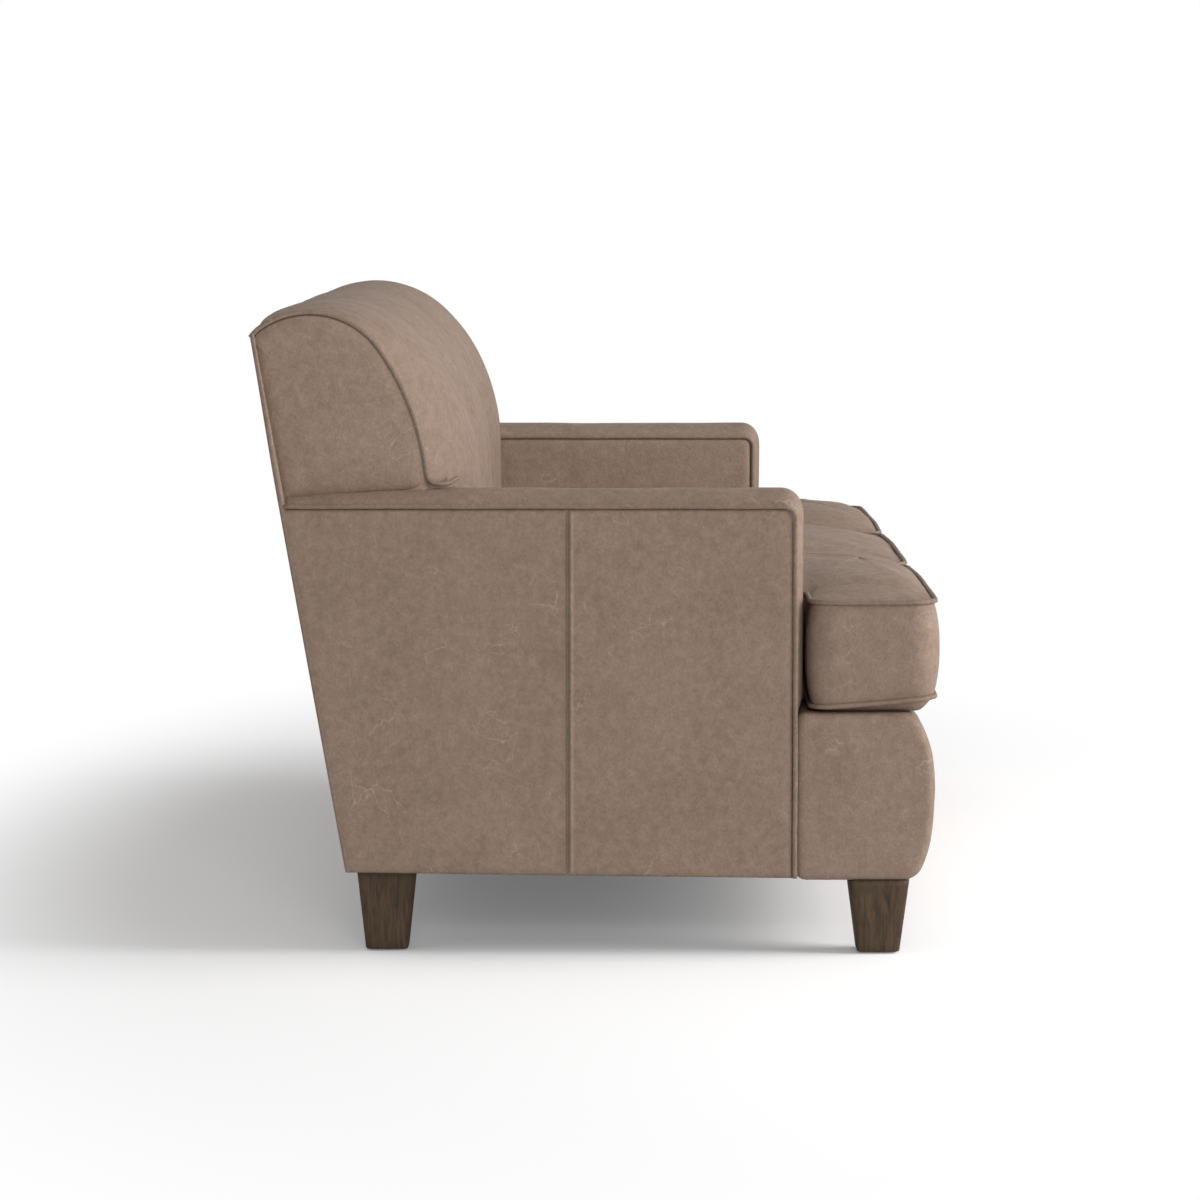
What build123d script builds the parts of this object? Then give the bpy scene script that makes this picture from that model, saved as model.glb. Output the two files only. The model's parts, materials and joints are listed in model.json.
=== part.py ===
from build123d import *
import math
import os

# Three-seat leather sofa on tapered wooden legs, with loose seat cushions.
# Millimetres, +Z up, the front faces -Y. The origin is on the floor under the sofa's middle.
# "left" is the -X end, on the left hand of someone who stands in front and faces the sofa.

# Overall sizes
sofa_width = 2006.0
sofa_depth = 967.0
back_edge_height = 874.0  # top edge of the outside back
back_rake = 10.0  # lean of the outside back, in degrees
back_depth = 321.0  # fullest part of the back to the rear edge of the sofa

# Clearances
fit_gap = 0.5  # between padded pieces that meet
welt_gap = 0.25  # between a welt and the edges beside it
cushion_gap = 1.0  # between neighbouring seat cushions
cushion_side_gap = 1.5  # between a seat cushion and the arm

# Legs
leg_top_width = 86.0
leg_foot_width = 60.0
base_height = 106.0  # floor to the underside of the front border
front_leg_from_end = 51.0
front_leg_from_front = 85.0
rear_leg_from_end = 78.0
rear_leg_from_back = 56.0
glide_height = 2.5
glide_radius = 14.0
bolt_radius = 4.0
bolt_hole_gap = 0.2
bolt_in_leg = 35.0
bolt_in_block = 22.0

# Wooden frame
board = 25.0  # thickness of every frame board
block_height = 24.0
block_length = 110.0
block_width = 100.0
front_rail_setback = 55.5  # front of the cushions to the front rail
spring_rail_setback = 27.0  # face of the back to the rear spring rail
spring_rail_height = 110.0
stretcher_width = 40.0
stretcher_height = 40.0
stretcher_drop = 65.0  # top of the rails to the top of the stretchers
rear_rail_height = 100.0
back_frame_depth = 60.0  # depth of the back posts
back_frame_drop = 26.0  # edge of the outside back to the top of the back frame
back_rail_height = 40.0
back_lower_rail_rise = 8.0  # seat deck to the lower back rail
stile_width = 40.0

# Arms
arm_width = 140.0
arm_panel_height = 628.0  # floor to the welt along the arm
arm_setback = 207.5  # front of the cushions to the welt on the arm's front
arm_panel = 12.0  # thickness of the outside arm
arm_inner_panel = 10.0
arm_bottom_front = 110.0
arm_bottom_rear = 118.0
arm_corner_radius = 14.0
arm_seam_setback = 312.0  # welt on the arm's front to the seam down the outside arm
seam_gap = 0.6
band_riser = 8.0  # straight edge of the padded band beside a welt
band_dome = 18.0  # crown of the band along the top of the arm
front_band_dome = 9.0  # crown of the band down the front of the arm
band_corner_radius = 36.0

# Welts
welt_radius = 3.5

# Back
outside_back = 6.0  # thickness of the outside back
outside_back_bottom = 118.0
back_corner_drop = 2.0  # edge of the outside back to the rear corner of the padding
back_crown = 70.0  # how far the middle of a back section stands ahead of its ends
back_crown_top = 16.0  # rise of the rear corner at the middle of a section
back_seam_share = 0.5  # share of the crown that is left at a seam between two sections
back_flank_share = 0.85  # share of the crown a third of the way from a seam to the middle
back_knee_rise = 12.0  # welt along the arm to where the upright face starts to curve back
back_knee_lean = 5.5  # lean of the face below that height
back_shoulder_depth = 172.5  # rear corner to the shoulder, measured forwards
back_shoulder_drop = 24.0  # rear corner to the shoulder, measured down
back_crown_shoulder = 43.0  # how far the crown moves the shoulder forwards
back_crown_shoulder_rise = 10.0
back_end_panel = 8.0
back_end_rear_inset = 11.0  # outside of the arm to the end of the padding, at the rear
back_end_front_inset = 51.0  # the same at the front

# Front border
border_wall = 20.0  # padding under the front rail
border_end_gap = 1.0  # outside of the arm to the end of the border
border_top_setback = 35.5  # front of the cushions to the border's upper edge
border_bulge_setback = 7.5
border_bottom_setback = 31.5
border_edge_radius = 10.0

# Seat platform
deck_height = 342.0
deck_thickness = 18.0
wire_radius = 1.9
wire_drop = 5.0  # underside of the deck to the middle of the spring wire
springs_per_seat = 4
spring_runs = 22
spring_run_length = 24.0
clip_length = 14.0
clip_width = 12.0
clip_floor = 1.5
clip_gap = 0.2
strap_width = 50.0
strap_thickness = 2.0
strap_spacing = 170.0
strap_overlap = 38.0  # length of a strap that lies on each back rail
dust_cloth = 1.5

# Loose seat cushions
cushion_lift_gap = 0.4  # deck to the underside of a cushion
box_rise = 15.0  # deck to the seam of the lower welt
box_height = 140.0  # between the seams of the two welts
cushion_bulge = 9.0  # how far the sides swell between the two welts
cushion_corner_radius = 30.0
cushion_notch_radius = 16.0  # inner corner of an end cushion, where it goes round the arm
cushion_crown = 40.0
cushion_crown_edge = 4.0  # crown that is left at the two ends of a cushion
cushion_under_inset = 22.0  # how far the underside draws in below the lower welt
cover_thickness = 2.0
core_gap = 0.4
welt_rise = 1.5  # middle of a welt above or below its seam
zip_length = 380.0
zip_height = 9.0
zip_thickness = 2.0
slider_length = 14.0
slider_thickness = 3.0

# Places that follow from the sizes above
half_width = sofa_width / 2
front_y = -sofa_depth / 2
rake_slope = math.tan(math.radians(back_rake))
back_face_y = sofa_depth / 2 - back_depth
arm_front_y = front_y + arm_setback
arm_inner_x = half_width - arm_width
outer_panel_x = half_width - arm_panel
side_rail_x = outer_panel_x - board
post_x = side_rail_x - board
inner_panel_x = arm_inner_x + arm_inner_panel
seam_x = sofa_width / 6
frame_bottom = base_height + border_wall
block_top = frame_bottom + block_height
deck_bottom = deck_height - deck_thickness
wire_z = deck_bottom - wire_drop
rail_top = wire_z - wire_radius - clip_gap - clip_floor
rail_front_y = front_y + front_rail_setback
rail_rear_y = rail_front_y + board
spring_rail_y = back_face_y + spring_rail_setback
border_rear_y = arm_front_y - band_riser - fit_gap
band_outer_x = half_width - 2 * welt_radius - welt_gap
band_inner_x = arm_inner_x + 2 * welt_radius + welt_gap
band_middle_x = half_width - arm_width / 2
band_top = arm_panel_height + band_riser + band_dome
back_knee_height = arm_panel_height + back_knee_rise
band_front_y = arm_front_y - band_riser - front_band_dome
back_frame_top = back_edge_height - back_frame_drop
back_corner_z = back_edge_height - back_corner_drop
lower_rail_z = deck_height + back_lower_rail_rise
cushion_bottom = deck_height + cushion_lift_gap
box_bottom = deck_height + box_rise
box_top = box_bottom + box_height
front_leg = (half_width - front_leg_from_end, front_y + front_leg_from_front)


def rear_y(z):
    # rear face of the outside back at height z
    return sofa_depth / 2 - (back_edge_height - z) * rake_slope


def inner_rear_y(z):
    # front face of the outside back at height z
    return rear_y(z) - outside_back / math.cos(math.radians(back_rake))


def frame_front_y(z):
    # front of the back posts at height z
    return inner_rear_y(z) - back_frame_depth


rear_leg = (half_width - rear_leg_from_end, rear_y(outside_back_bottom) - rear_leg_from_back)
back_corner_y = inner_rear_y(back_corner_z)


def save(piece, node):
    piece.part.label = node
    export_step(piece.part, f"parts/{node}.step")


def save_pair(piece, node):
    # the piece as drawn is the left one, and its mirror image is the right one
    save(piece, f"{node}_left")
    with BuildPart() as twin:
        mirror(piece.part, about=Plane.YZ)
    save(twin, f"{node}_right")


def block(x, y, z):
    # a straight board between the two x, the two y and the two z values
    with BuildPart() as piece:
        with Locations((x[0], y[0], z[0])):
            Box(x[1] - x[0], y[1] - y[0], z[1] - z[0], align=(Align.MIN, Align.MIN, Align.MIN))
    return piece


def side_slab(outline, low_x, high_x):
    # an outline in the side view, carried across the sofa from low_x to high_x
    with BuildPart() as slab:
        with BuildSketch(Plane.YZ.offset(low_x)):
            with BuildLine():
                Polyline(*outline, close=True)
            make_face()
        extrude(amount=high_x - low_x)
    return slab


def raked_outline(ahead, behind, low_z, high_z):
    # a board that leans with the outside back, between two distances ahead of it
    return [
        (inner_rear_y(low_z) - ahead, low_z),
        (inner_rear_y(low_z) - behind, low_z),
        (inner_rear_y(high_z) - behind, high_z),
        (inner_rear_y(high_z) - ahead, high_z),
    ]


def both_sides(points):
    return [(sign * x, y) for sign in (-1, 1) for x, y in points]


def tapered_leg(centre, top_z):
    # square leg, wide under the frame and narrow at the foot, bored for its bolt
    with BuildPart() as leg:
        with BuildSketch(Plane.XY.offset(glide_height)):
            with Locations((-centre[0], centre[1])):
                Rectangle(leg_foot_width, leg_foot_width)
        with BuildSketch(Plane.XY.offset(top_z)):
            with Locations((-centre[0], centre[1])):
                Rectangle(leg_top_width, leg_top_width)
        loft(ruled=True)
        with Locations((-centre[0], centre[1], top_z)):
            Hole(bolt_radius + bolt_hole_gap, bolt_in_leg + fit_gap)
    return leg


def leg_glides():
    with BuildPart() as glides:
        with Locations(*both_sides([front_leg, rear_leg])):
            Cylinder(glide_radius, glide_height, align=(Align.CENTER, Align.CENTER, Align.MIN))
    return glides


def leg_blocks():
    # mounting blocks inside the four corners of the base
    corners = [
        (side_rail_x - block_length / 2, rail_front_y + block_width / 2),
        (post_x - block_length / 2, inner_rear_y(frame_bottom) - fit_gap - block_width / 2),
    ]
    with BuildPart() as blocks:
        with BuildSketch(Plane.XY.offset(frame_bottom)):
            with Locations(*both_sides(corners)):
                Rectangle(block_length, block_width)
            with Locations(*both_sides([front_leg, rear_leg])):
                Circle(bolt_radius + bolt_hole_gap, mode=Mode.SUBTRACT)
        extrude(amount=block_height)
    return blocks


def leg_bolts():
    with BuildPart() as bolts:
        for centre, top_z in ((front_leg, base_height), (rear_leg, frame_bottom)):
            low_z = top_z - bolt_in_leg
            with BuildSketch(Plane.XY.offset(low_z)):
                with Locations(*both_sides([centre])):
                    Circle(bolt_radius)
            extrude(amount=frame_bottom + bolt_in_block - low_z)
    return bolts


def seat_stretchers():
    # front-to-back boards under the springs, below the seams between the cushions
    length = spring_rail_y - rail_rear_y
    with BuildPart() as stretchers:
        with BuildSketch(Plane.XZ.offset(-rail_rear_y)):
            with Locations(*both_sides([(seam_x, rail_top - stretcher_drop - stretcher_height / 2)])):
                Rectangle(stretcher_width, stretcher_height)
        extrude(amount=-length)
    return stretchers


def back_stiles():
    with BuildPart() as stiles:
        for x in (-seam_x, seam_x):
            with BuildSketch(Plane.YZ.offset(x)):
                with BuildLine():
                    low_z = lower_rail_z + back_rail_height
                    high_z = back_frame_top - back_rail_height
                    Polyline(*raked_outline(board, 0, low_z, high_z), close=True)
                make_face()
            extrude(amount=stile_width / 2, both=True)
    return stiles


def seat_spans():
    # inside widths of the three seats, left to right
    return [(-arm_inner_x, -seam_x), (-seam_x, seam_x), (seam_x, arm_inner_x)]


def spring_places():
    return [
        low + (high - low) * (number + 0.5) / springs_per_seat
        for low, high in seat_spans()
        for number in range(springs_per_seat)
    ]


spring_front_y = rail_front_y + board / 2
spring_rear_y = spring_rail_y + board / 2


def one_spring():
    # a wire that runs to and fro across the seat, with a half turn at the end of each run
    pitch = (spring_rear_y - spring_front_y) / spring_runs
    with BuildPart() as spring:
        with BuildLine() as path:
            for run in range(spring_runs + 1):
                side = 1 if run % 2 == 0 else -1
                y = spring_front_y + run * pitch
                end_x = side * spring_run_length / 2
                Line((-end_x, y, wire_z), (end_x, y, wire_z))
                if run < spring_runs:
                    turn = (end_x + side * pitch / 2, y + pitch / 2, wire_z)
                    ThreePointArc((end_x, y, wire_z), turn, (end_x, y + pitch, wire_z))
        with BuildSketch(Plane(path.wire() @ 0, z_dir=path.wire() % 0)):
            Circle(wire_radius)
        sweep(path=path.wire())
    expected = path.wire().length * math.pi * wire_radius**2
    print(f"spring wire volume {spring.part.volume:.0f}, section times length {expected:.0f}")
    return spring


def seat_springs(spring):
    with BuildPart() as springs:
        with Locations(*[(x, 0, 0) for x in spring_places()]):
            add(spring.part)
    return springs


def spring_clips():
    # folded steel clips on the two rails, each with the end of a spring through it
    height = deck_bottom - clip_gap - rail_top
    places = [(x, y) for x in spring_places() for y in (spring_front_y, spring_rear_y)]
    with BuildPart() as clips:
        with BuildSketch(Plane.XY.offset(rail_top)):
            with Locations(*places):
                Rectangle(clip_width, clip_length)
        extrude(amount=height)
        with Locations(*[Location((x, y, wire_z), (0, 90, 0)) for x, y in places]):
            Cylinder(wire_radius + clip_gap, clip_width, mode=Mode.SUBTRACT)
    return clips


def back_webbing():
    low_z = lower_rail_z + back_rail_height - strap_overlap
    high_z = back_frame_top - back_rail_height + strap_overlap
    with BuildPart() as webbing:
        for middle in (-2 * seam_x, 0, 2 * seam_x):
            for step in (-1, 0, 1):
                with BuildSketch(Plane.YZ.offset(middle + step * strap_spacing)):
                    with BuildLine():
                        Polyline(*raked_outline(board + strap_thickness, board, low_z, high_z), close=True)
                    make_face()
                extrude(amount=strap_width / 2, both=True)
    return webbing


def dust_cover():
    # cloth under the base, cut round the rear legs
    low_y = border_rear_y + fit_gap
    high_y = inner_rear_y(frame_bottom - dust_cloth) - fit_gap
    with BuildPart() as cover:
        with BuildSketch(Plane.XY.offset(frame_bottom - dust_cloth)):
            with Locations((0, (low_y + high_y) / 2)):
                Rectangle(2 * (outer_panel_x - fit_gap), high_y - low_y)
            with Locations(*both_sides([rear_leg])):
                Rectangle(leg_top_width + 2 * fit_gap, leg_top_width + 2 * fit_gap, mode=Mode.SUBTRACT)
        extrude(amount=dust_cloth)
    return cover


def front_border():
    # padded roll across the front, bowed forwards, hollow at the back for the front rail
    half_length = half_width - border_end_gap
    top_front = (front_y + border_top_setback, deck_height)
    bulge = (front_y + border_bulge_setback, (base_height + deck_height) / 2)
    bottom_front = (front_y + border_bottom_setback, base_height)
    with BuildPart() as border:
        with BuildSketch(Plane.YZ.offset(-half_length)) as side:
            with BuildLine():
                Line((border_rear_y, deck_height), top_front)
                ThreePointArc(top_front, bulge, bottom_front)
                Polyline(bottom_front, (border_rear_y, base_height), (border_rear_y, deck_height))
            make_face()
            fillet(side.vertices(), border_edge_radius)
        extrude(amount=2 * half_length)
        ends = border.faces().filter_by(Axis.X)
        fillet(ends.edges(), border_edge_radius - border_end_gap)
        with Locations((0, rail_front_y, frame_bottom)):
            Box(
                2 * outer_panel_x,
                border_rear_y - rail_front_y,
                deck_bottom - frame_bottom,
                align=(Align.CENTER, Align.MIN, Align.MIN),
                mode=Mode.SUBTRACT,
            )
        with Locations(*[(x, y, frame_bottom) for x, y in both_sides([front_leg])]):
            Hole(bolt_radius + bolt_hole_gap, border_wall + fit_gap)
    return border


def outside_arm():
    # two leather-covered panels that meet at the seam down the outside of the arm
    seam_y = arm_front_y + arm_seam_setback
    bottom_slope = (arm_bottom_rear - arm_bottom_front) / (inner_rear_y(arm_bottom_rear) - arm_front_y)
    seam_bottom = arm_bottom_front + bottom_slope * arm_seam_setback
    with BuildPart() as panels:
        with BuildSketch(Plane.YZ.offset(-half_width)) as front:
            with BuildLine():
                Polyline(
                    (arm_front_y, arm_bottom_front),
                    (seam_y - seam_gap / 2, seam_bottom),
                    (seam_y - seam_gap / 2, arm_panel_height),
                    (arm_front_y, arm_panel_height),
                    close=True,
                )
            make_face()
            fillet(front.vertices().group_by(Axis.Y)[-1].sort_by(Axis.X)[0], arm_corner_radius)
        extrude(amount=arm_panel)
        with BuildSketch(Plane.YZ.offset(-half_width)):
            with BuildLine():
                Polyline(
                    (seam_y + seam_gap / 2, seam_bottom),
                    (inner_rear_y(arm_bottom_rear), arm_bottom_rear),
                    (inner_rear_y(arm_panel_height), arm_panel_height),
                    (seam_y + seam_gap / 2, arm_panel_height),
                    close=True,
                )
            make_face()
        extrude(amount=arm_panel)
    return panels


def inside_arm():
    # leather-covered panel on the seat's side of the arm
    low_z = rail_top + fit_gap
    with BuildPart() as panel:
        with BuildSketch(Plane.YZ.offset(-inner_panel_x)) as side:
            with BuildLine():
                Polyline(
                    (arm_front_y, low_z),
                    (frame_front_y(low_z) - fit_gap, low_z),
                    (frame_front_y(arm_panel_height) - fit_gap, arm_panel_height),
                    (arm_front_y, arm_panel_height),
                    close=True,
                )
            make_face()
            fillet(side.vertices().group_by(Axis.Y)[-1].sort_by(Axis.X)[0], arm_corner_radius)
        extrude(amount=arm_inner_panel)
    return panel


def band_roof(grow):
    # cross-section of the arm under its padded band, wider and taller by grow
    edge_z = arm_panel_height + band_riser + grow
    outer = (-band_outer_x - grow, edge_z)
    inner = (-band_inner_x + grow, edge_z)
    with BuildSketch() as roof:
        with BuildLine():
            ThreePointArc(outer, (-band_middle_x, band_top + grow), inner)
            Polyline(inner, (inner[0], 0), (outer[0], 0), outer)
        make_face()
    return roof.sketch


def arm_band():
    # padded band over the top of the arm and down its front, crowned across its width
    rear_low = frame_front_y(arm_panel_height) - fit_gap
    rear_high = frame_front_y(band_top) - fit_gap
    edge_y = arm_front_y - band_riser
    with BuildPart() as band:
        with BuildSketch(Plane.YZ.offset(-half_width)) as side:
            with BuildLine():
                Polyline(
                    (rear_low, arm_panel_height),
                    (rear_high, band_top),
                    (band_front_y, band_top),
                    (band_front_y, arm_bottom_front),
                    (arm_front_y, arm_bottom_front),
                    (arm_front_y, arm_panel_height),
                    close=True,
                )
            make_face()
            fillet(side.vertices().group_by(Axis.Y)[-1].sort_by(Axis.X)[0], band_corner_radius)
        extrude(amount=arm_width)
        with BuildSketch(Plane.XZ.offset(-sofa_depth)):
            add(band_roof(0))
        extrude(amount=2 * sofa_depth, mode=Mode.INTERSECT)
        with BuildSketch():
            with BuildLine():
                ThreePointArc((-band_outer_x, edge_y), (-band_middle_x, band_front_y), (-band_inner_x, edge_y))
                Polyline(
                    (-band_inner_x, edge_y),
                    (-band_inner_x, sofa_depth),
                    (-band_outer_x, sofa_depth),
                    (-band_outer_x, edge_y),
                )
            make_face()
        extrude(amount=back_edge_height, mode=Mode.INTERSECT)
        # below the deck the front of the band is pressed flat by the border
        with Locations((-band_middle_x, edge_y, 0)):
            Box(
                arm_width,
                arm_setback,
                deck_height + fit_gap,
                align=(Align.CENTER, Align.MAX, Align.MIN),
                mode=Mode.SUBTRACT,
            )
        # beside the side rail only the outer edge of the band goes on down
        with Locations((-outer_panel_x, arm_front_y, 0)):
            Box(
                arm_width,
                arm_setback,
                rail_top + fit_gap,
                align=(Align.MIN, Align.MAX, Align.MIN),
                mode=Mode.SUBTRACT,
            )
    return band


def arm_welts():
    # piping on the outer and the inner edge of the band, round the corner and down the front
    seat = welt_radius + welt_gap
    top_z = arm_panel_height + seat
    front = arm_front_y - seat
    corner = arm_corner_radius + seat
    outer_rear = inner_rear_y(arm_panel_height) - fit_gap
    inner_rear = frame_front_y(arm_panel_height) - fit_gap
    runs = [
        (-half_width + welt_radius, outer_rear, arm_bottom_front),
        (-arm_inner_x - welt_radius, inner_rear, rail_top + fit_gap),
    ]
    with BuildPart() as welts:
        for x, rear, low_z in runs:
            with BuildLine() as path:
                Line((x, rear, top_z), (x, front + corner, top_z))
                middle = corner * (1 - math.sqrt(0.5))
                ThreePointArc(
                    (x, front + corner, top_z),
                    (x, front + middle, top_z - middle),
                    (x, front, top_z - corner),
                )
                Line((x, front, top_z - corner), (x, front, low_z))
            with BuildSketch(Plane(path.wire() @ 0, z_dir=path.wire() % 0)):
                Circle(welt_radius)
            sweep(path=path.wire())
    return welts


# The ends of the back lean inwards towards the front
back_end_x = half_width - back_end_rear_inset
back_end_slope = (back_end_front_inset - back_end_rear_inset) / (back_corner_y - back_face_y - back_crown)
back_end_angle = math.atan(back_end_slope)
back_end_plane = Plane(
    origin=(-back_end_x + back_corner_y * back_end_slope, 0, 0),
    x_dir=(-math.sin(back_end_angle), math.cos(back_end_angle), 0),
    z_dir=(math.cos(back_end_angle), math.sin(back_end_angle), 0),
)


def back_curve(share, stretch, low_z):
    # face, shoulder and rounded top of the back, where share of the crown is present
    face = back_face_y + back_crown * (1 - share)
    lean = back_knee_lean / (back_knee_height - deck_height)
    foot = ((face + lean * (low_z - deck_height)) * stretch, low_z)
    knee = ((face + back_knee_lean) * stretch, back_knee_height)
    shoulder_y = back_corner_y - back_shoulder_depth - back_crown_shoulder * share
    shoulder_z = back_corner_z - back_shoulder_drop + back_crown_shoulder_rise * share
    roll = (
        (back_corner_y - back_corner_drop / 2 - fit_gap * share) * stretch,
        back_corner_z + back_corner_drop + back_crown_top * share,
    )
    upright = Line(foot, knee)
    rise = TangentArc(knee, (shoulder_y * stretch, shoulder_z), tangent=upright % 1)
    roof = TangentArc((shoulder_y * stretch, shoulder_z), roll, tangent=rise % 1)
    return upright, rise, roof


def back_profile(share, stretch=1.0):
    # closed outline of a back section, stepped at the rear to go over the back frame
    low_z = deck_height + fit_gap
    step_z = back_frame_top + fit_gap
    with BuildSketch() as profile:
        with BuildLine():
            upright, rise, roof = back_curve(share, stretch, low_z)
            Polyline(
                roof @ 1,
                (back_corner_y * stretch, back_corner_z),
                (inner_rear_y(step_z) * stretch, step_z),
                ((frame_front_y(step_z) - fit_gap) * stretch, step_z),
                ((frame_front_y(low_z) - fit_gap) * stretch, low_z),
                upright @ 0,
            )
        make_face()
    return profile.sketch


def arm_space():
    # front view of one arm with its band and its welts, which the back goes round
    with BuildSketch() as space:
        add(band_roof(fit_gap))
        with Locations((-half_width, 0)):
            Rectangle(
                arm_width + fit_gap,
                arm_panel_height + 2 * (welt_radius + fit_gap),
                align=(Align.MIN, Align.MIN),
            )
    return space.sketch


def back_section_end():
    # end section of the back: it stands between the arms and spreads over the top of one
    middle = -2 * seam_x
    seam = -seam_x - fit_gap / 2
    flank = (seam_x + fit_gap) / 3
    stations = [
        (middle - flank, back_flank_share),
        (middle, 1.0),
        (middle + 2 * flank, back_flank_share),
        (seam, back_seam_share),
    ]
    with BuildPart() as section:
        with BuildSketch(back_end_plane):
            add(back_profile(0, 1 / math.cos(back_end_angle)))
        for x, share in stations:
            with BuildSketch(Plane.YZ.offset(x)):
                add(back_profile(share))
        loft()
        with BuildSketch(Plane.XZ):
            add(arm_space())
        extrude(amount=-sofa_depth, mode=Mode.SUBTRACT)
    return section


def back_section_middle():
    seam = seam_x - fit_gap / 2
    stations = [
        (-seam, back_seam_share),
        (-2 * seam / 3, back_flank_share),
        (0, 1.0),
        (2 * seam / 3, back_flank_share),
        (seam, back_seam_share),
    ]
    with BuildPart() as section:
        for x, share in stations:
            with BuildSketch(Plane.YZ.offset(x)):
                add(back_profile(share))
        loft()
    return section


def back_end():
    # leather panel that closes the end of the back above the arm
    stretch = 1 / math.cos(back_end_angle)
    with BuildPart() as panel:
        with BuildSketch(back_end_plane):
            with BuildLine():
                upright, rise, roof = back_curve(0, stretch, arm_panel_height)
                Polyline(
                    roof @ 1,
                    (back_corner_y * stretch, back_corner_z),
                    (inner_rear_y(arm_panel_height) * stretch, arm_panel_height),
                    upright @ 0,
                )
            make_face()
        extrude(amount=-back_end_panel)
        with BuildSketch(Plane.XZ):
            add(arm_space())
        extrude(amount=-sofa_depth, mode=Mode.SUBTRACT)
    return panel


def outside_of(curve, position):
    # middle of the piping beside a point of the back's edge
    along = curve % position
    point = curve @ position + Vector(-along.Y, along.X) * (welt_radius + welt_gap)
    return back_end_plane.offset(-back_end_panel / 2).from_local_coords(point)


def back_end_welt():
    # piping round the edge of the end panel, from the arm over the top to the rear corner
    with BuildLine():
        upright, rise, roof = back_curve(0, 1 / math.cos(back_end_angle), arm_panel_height)
    with BuildLine() as line:
        Line(outside_of(upright, 0), outside_of(upright, 1))
        ThreePointArc(outside_of(rise, 0), outside_of(rise, 0.5), outside_of(rise, 1))
        ThreePointArc(outside_of(roof, 0), outside_of(roof, 0.5), outside_of(roof, 1))
    path = line.wire()
    lean = math.radians(back_rake)
    outside_back_face = Plane((0, inner_rear_y(0), 0), z_dir=(0, math.cos(lean), -math.sin(lean)))
    with BuildPart() as welt:
        with BuildSketch(Plane(path @ 0, z_dir=path % 0)):
            Circle(welt_radius)
        sweep(path=path)
        split(bisect_by=Plane.XY.offset(band_top + fit_gap), keep=Keep.TOP)
        split(bisect_by=outside_back_face.offset(-fit_gap), keep=Keep.BOTTOM)
    return welt


# Outlines of the loose cushions at their seams: the sides then swell by cushion_bulge
seat_front_y = front_y + cushion_bulge
seat_rear_y = back_face_y - cushion_side_gap - slider_thickness - cushion_bulge
seat_ear_y = band_front_y - cushion_side_gap - cushion_bulge
seat_seam_x = seam_x + cushion_gap / 2 + cushion_bulge
seat_arm_x = arm_inner_x - cushion_side_gap - cushion_bulge
seat_end_x = half_width - border_end_gap - cushion_bulge
seat_middle_x = seam_x - cushion_gap / 2 - cushion_bulge
middle_outline = [(-seat_middle_x, seat_middle_x, seat_front_y, seat_rear_y)]
end_outline = [
    (-seat_arm_x, -seat_seam_x, seat_front_y, seat_rear_y),
    (-seat_end_x, -seat_seam_x, seat_front_y, seat_ear_y),
]


def cushion_outline(outline, grow):
    # the rectangles of a cushion's plan, widened by grow, joined and rounded at their corners
    with BuildSketch() as plan:
        for low_x, high_x, low_y, high_y in outline:
            with Locations(((low_x + high_x) / 2, (low_y + high_y) / 2)):
                Rectangle(high_x - low_x + 2 * grow, high_y - low_y + 2 * grow)
        if len(outline) == 1:
            fillet(plan.vertices(), cushion_corner_radius + grow)
        else:
            notch = (outline[0][0] - grow, outline[1][3] + grow)
            fillet(plan.vertices().sort_by_distance(notch)[1:], cushion_corner_radius + grow)
            fillet(plan.vertices().sort_by_distance(notch)[0], cushion_notch_radius - grow)
    return plan.sketch


def cushion_solid(outline, inset):
    # box cushion: crowned top, swollen sides and a drawn-in underside, inset all round
    low = box_bottom + inset
    high = box_top - inset
    edge = inset + fit_gap
    base = high - fit_gap
    with BuildPart() as cushion:
        for low_x, high_x, low_y, high_y in outline:
            front = low_y + edge
            rear = high_y - edge
            for share in (0, 0.2, 0.5, 0.8, 1):
                swell = 4 * share * (1 - share)
                crown = cushion_crown_edge + swell * (cushion_crown - cushion_crown_edge)
                x = low_x + edge + share * (high_x - low_x - 2 * edge)
                with BuildSketch(Plane.YZ.offset(x)):
                    with BuildLine():
                        ThreePointArc((front, base), ((front + rear) / 2, base + crown), (rear, base))
                        Line((rear, base), (front, base))
                    make_face()
            loft()
        with BuildSketch(Plane.XY.offset(low)):
            add(cushion_outline(outline, -inset))
        extrude(amount=box_top, mode=Mode.INTERSECT)
        for z, grow in ((low, 0), ((low + high) / 2, cushion_bulge), (high, 0)):
            with BuildSketch(Plane.XY.offset(z)):
                add(cushion_outline(outline, grow - inset))
        loft()
        for z, grow in ((low, 0), (cushion_bottom + inset, -cushion_under_inset)):
            with BuildSketch(Plane.XY.offset(z)):
                add(cushion_outline(outline, grow - inset))
        loft(ruled=True)
    return cushion


def cushion_cover(outline):
    outer = cushion_solid(outline, 0)
    inner = cushion_solid(outline, cover_thickness)
    with BuildPart() as cover:
        add(outer.part)
        add(inner.part, mode=Mode.SUBTRACT)
    return cover


def cushion_welts(outline):
    # closed loops of piping along the upper and the lower seam of a cushion
    grow = welt_radius + welt_gap
    with BuildPart() as welts:
        for z in (box_bottom - welt_rise, box_top + welt_rise):
            loop = cushion_outline(outline, grow).face().outer_wire().moved(Location((0, 0, z)))
            with BuildSketch(Plane(loop @ 0, z_dir=loop % 0)):
                Circle(welt_radius)
            sweep(path=loop)
    return welts


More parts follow.
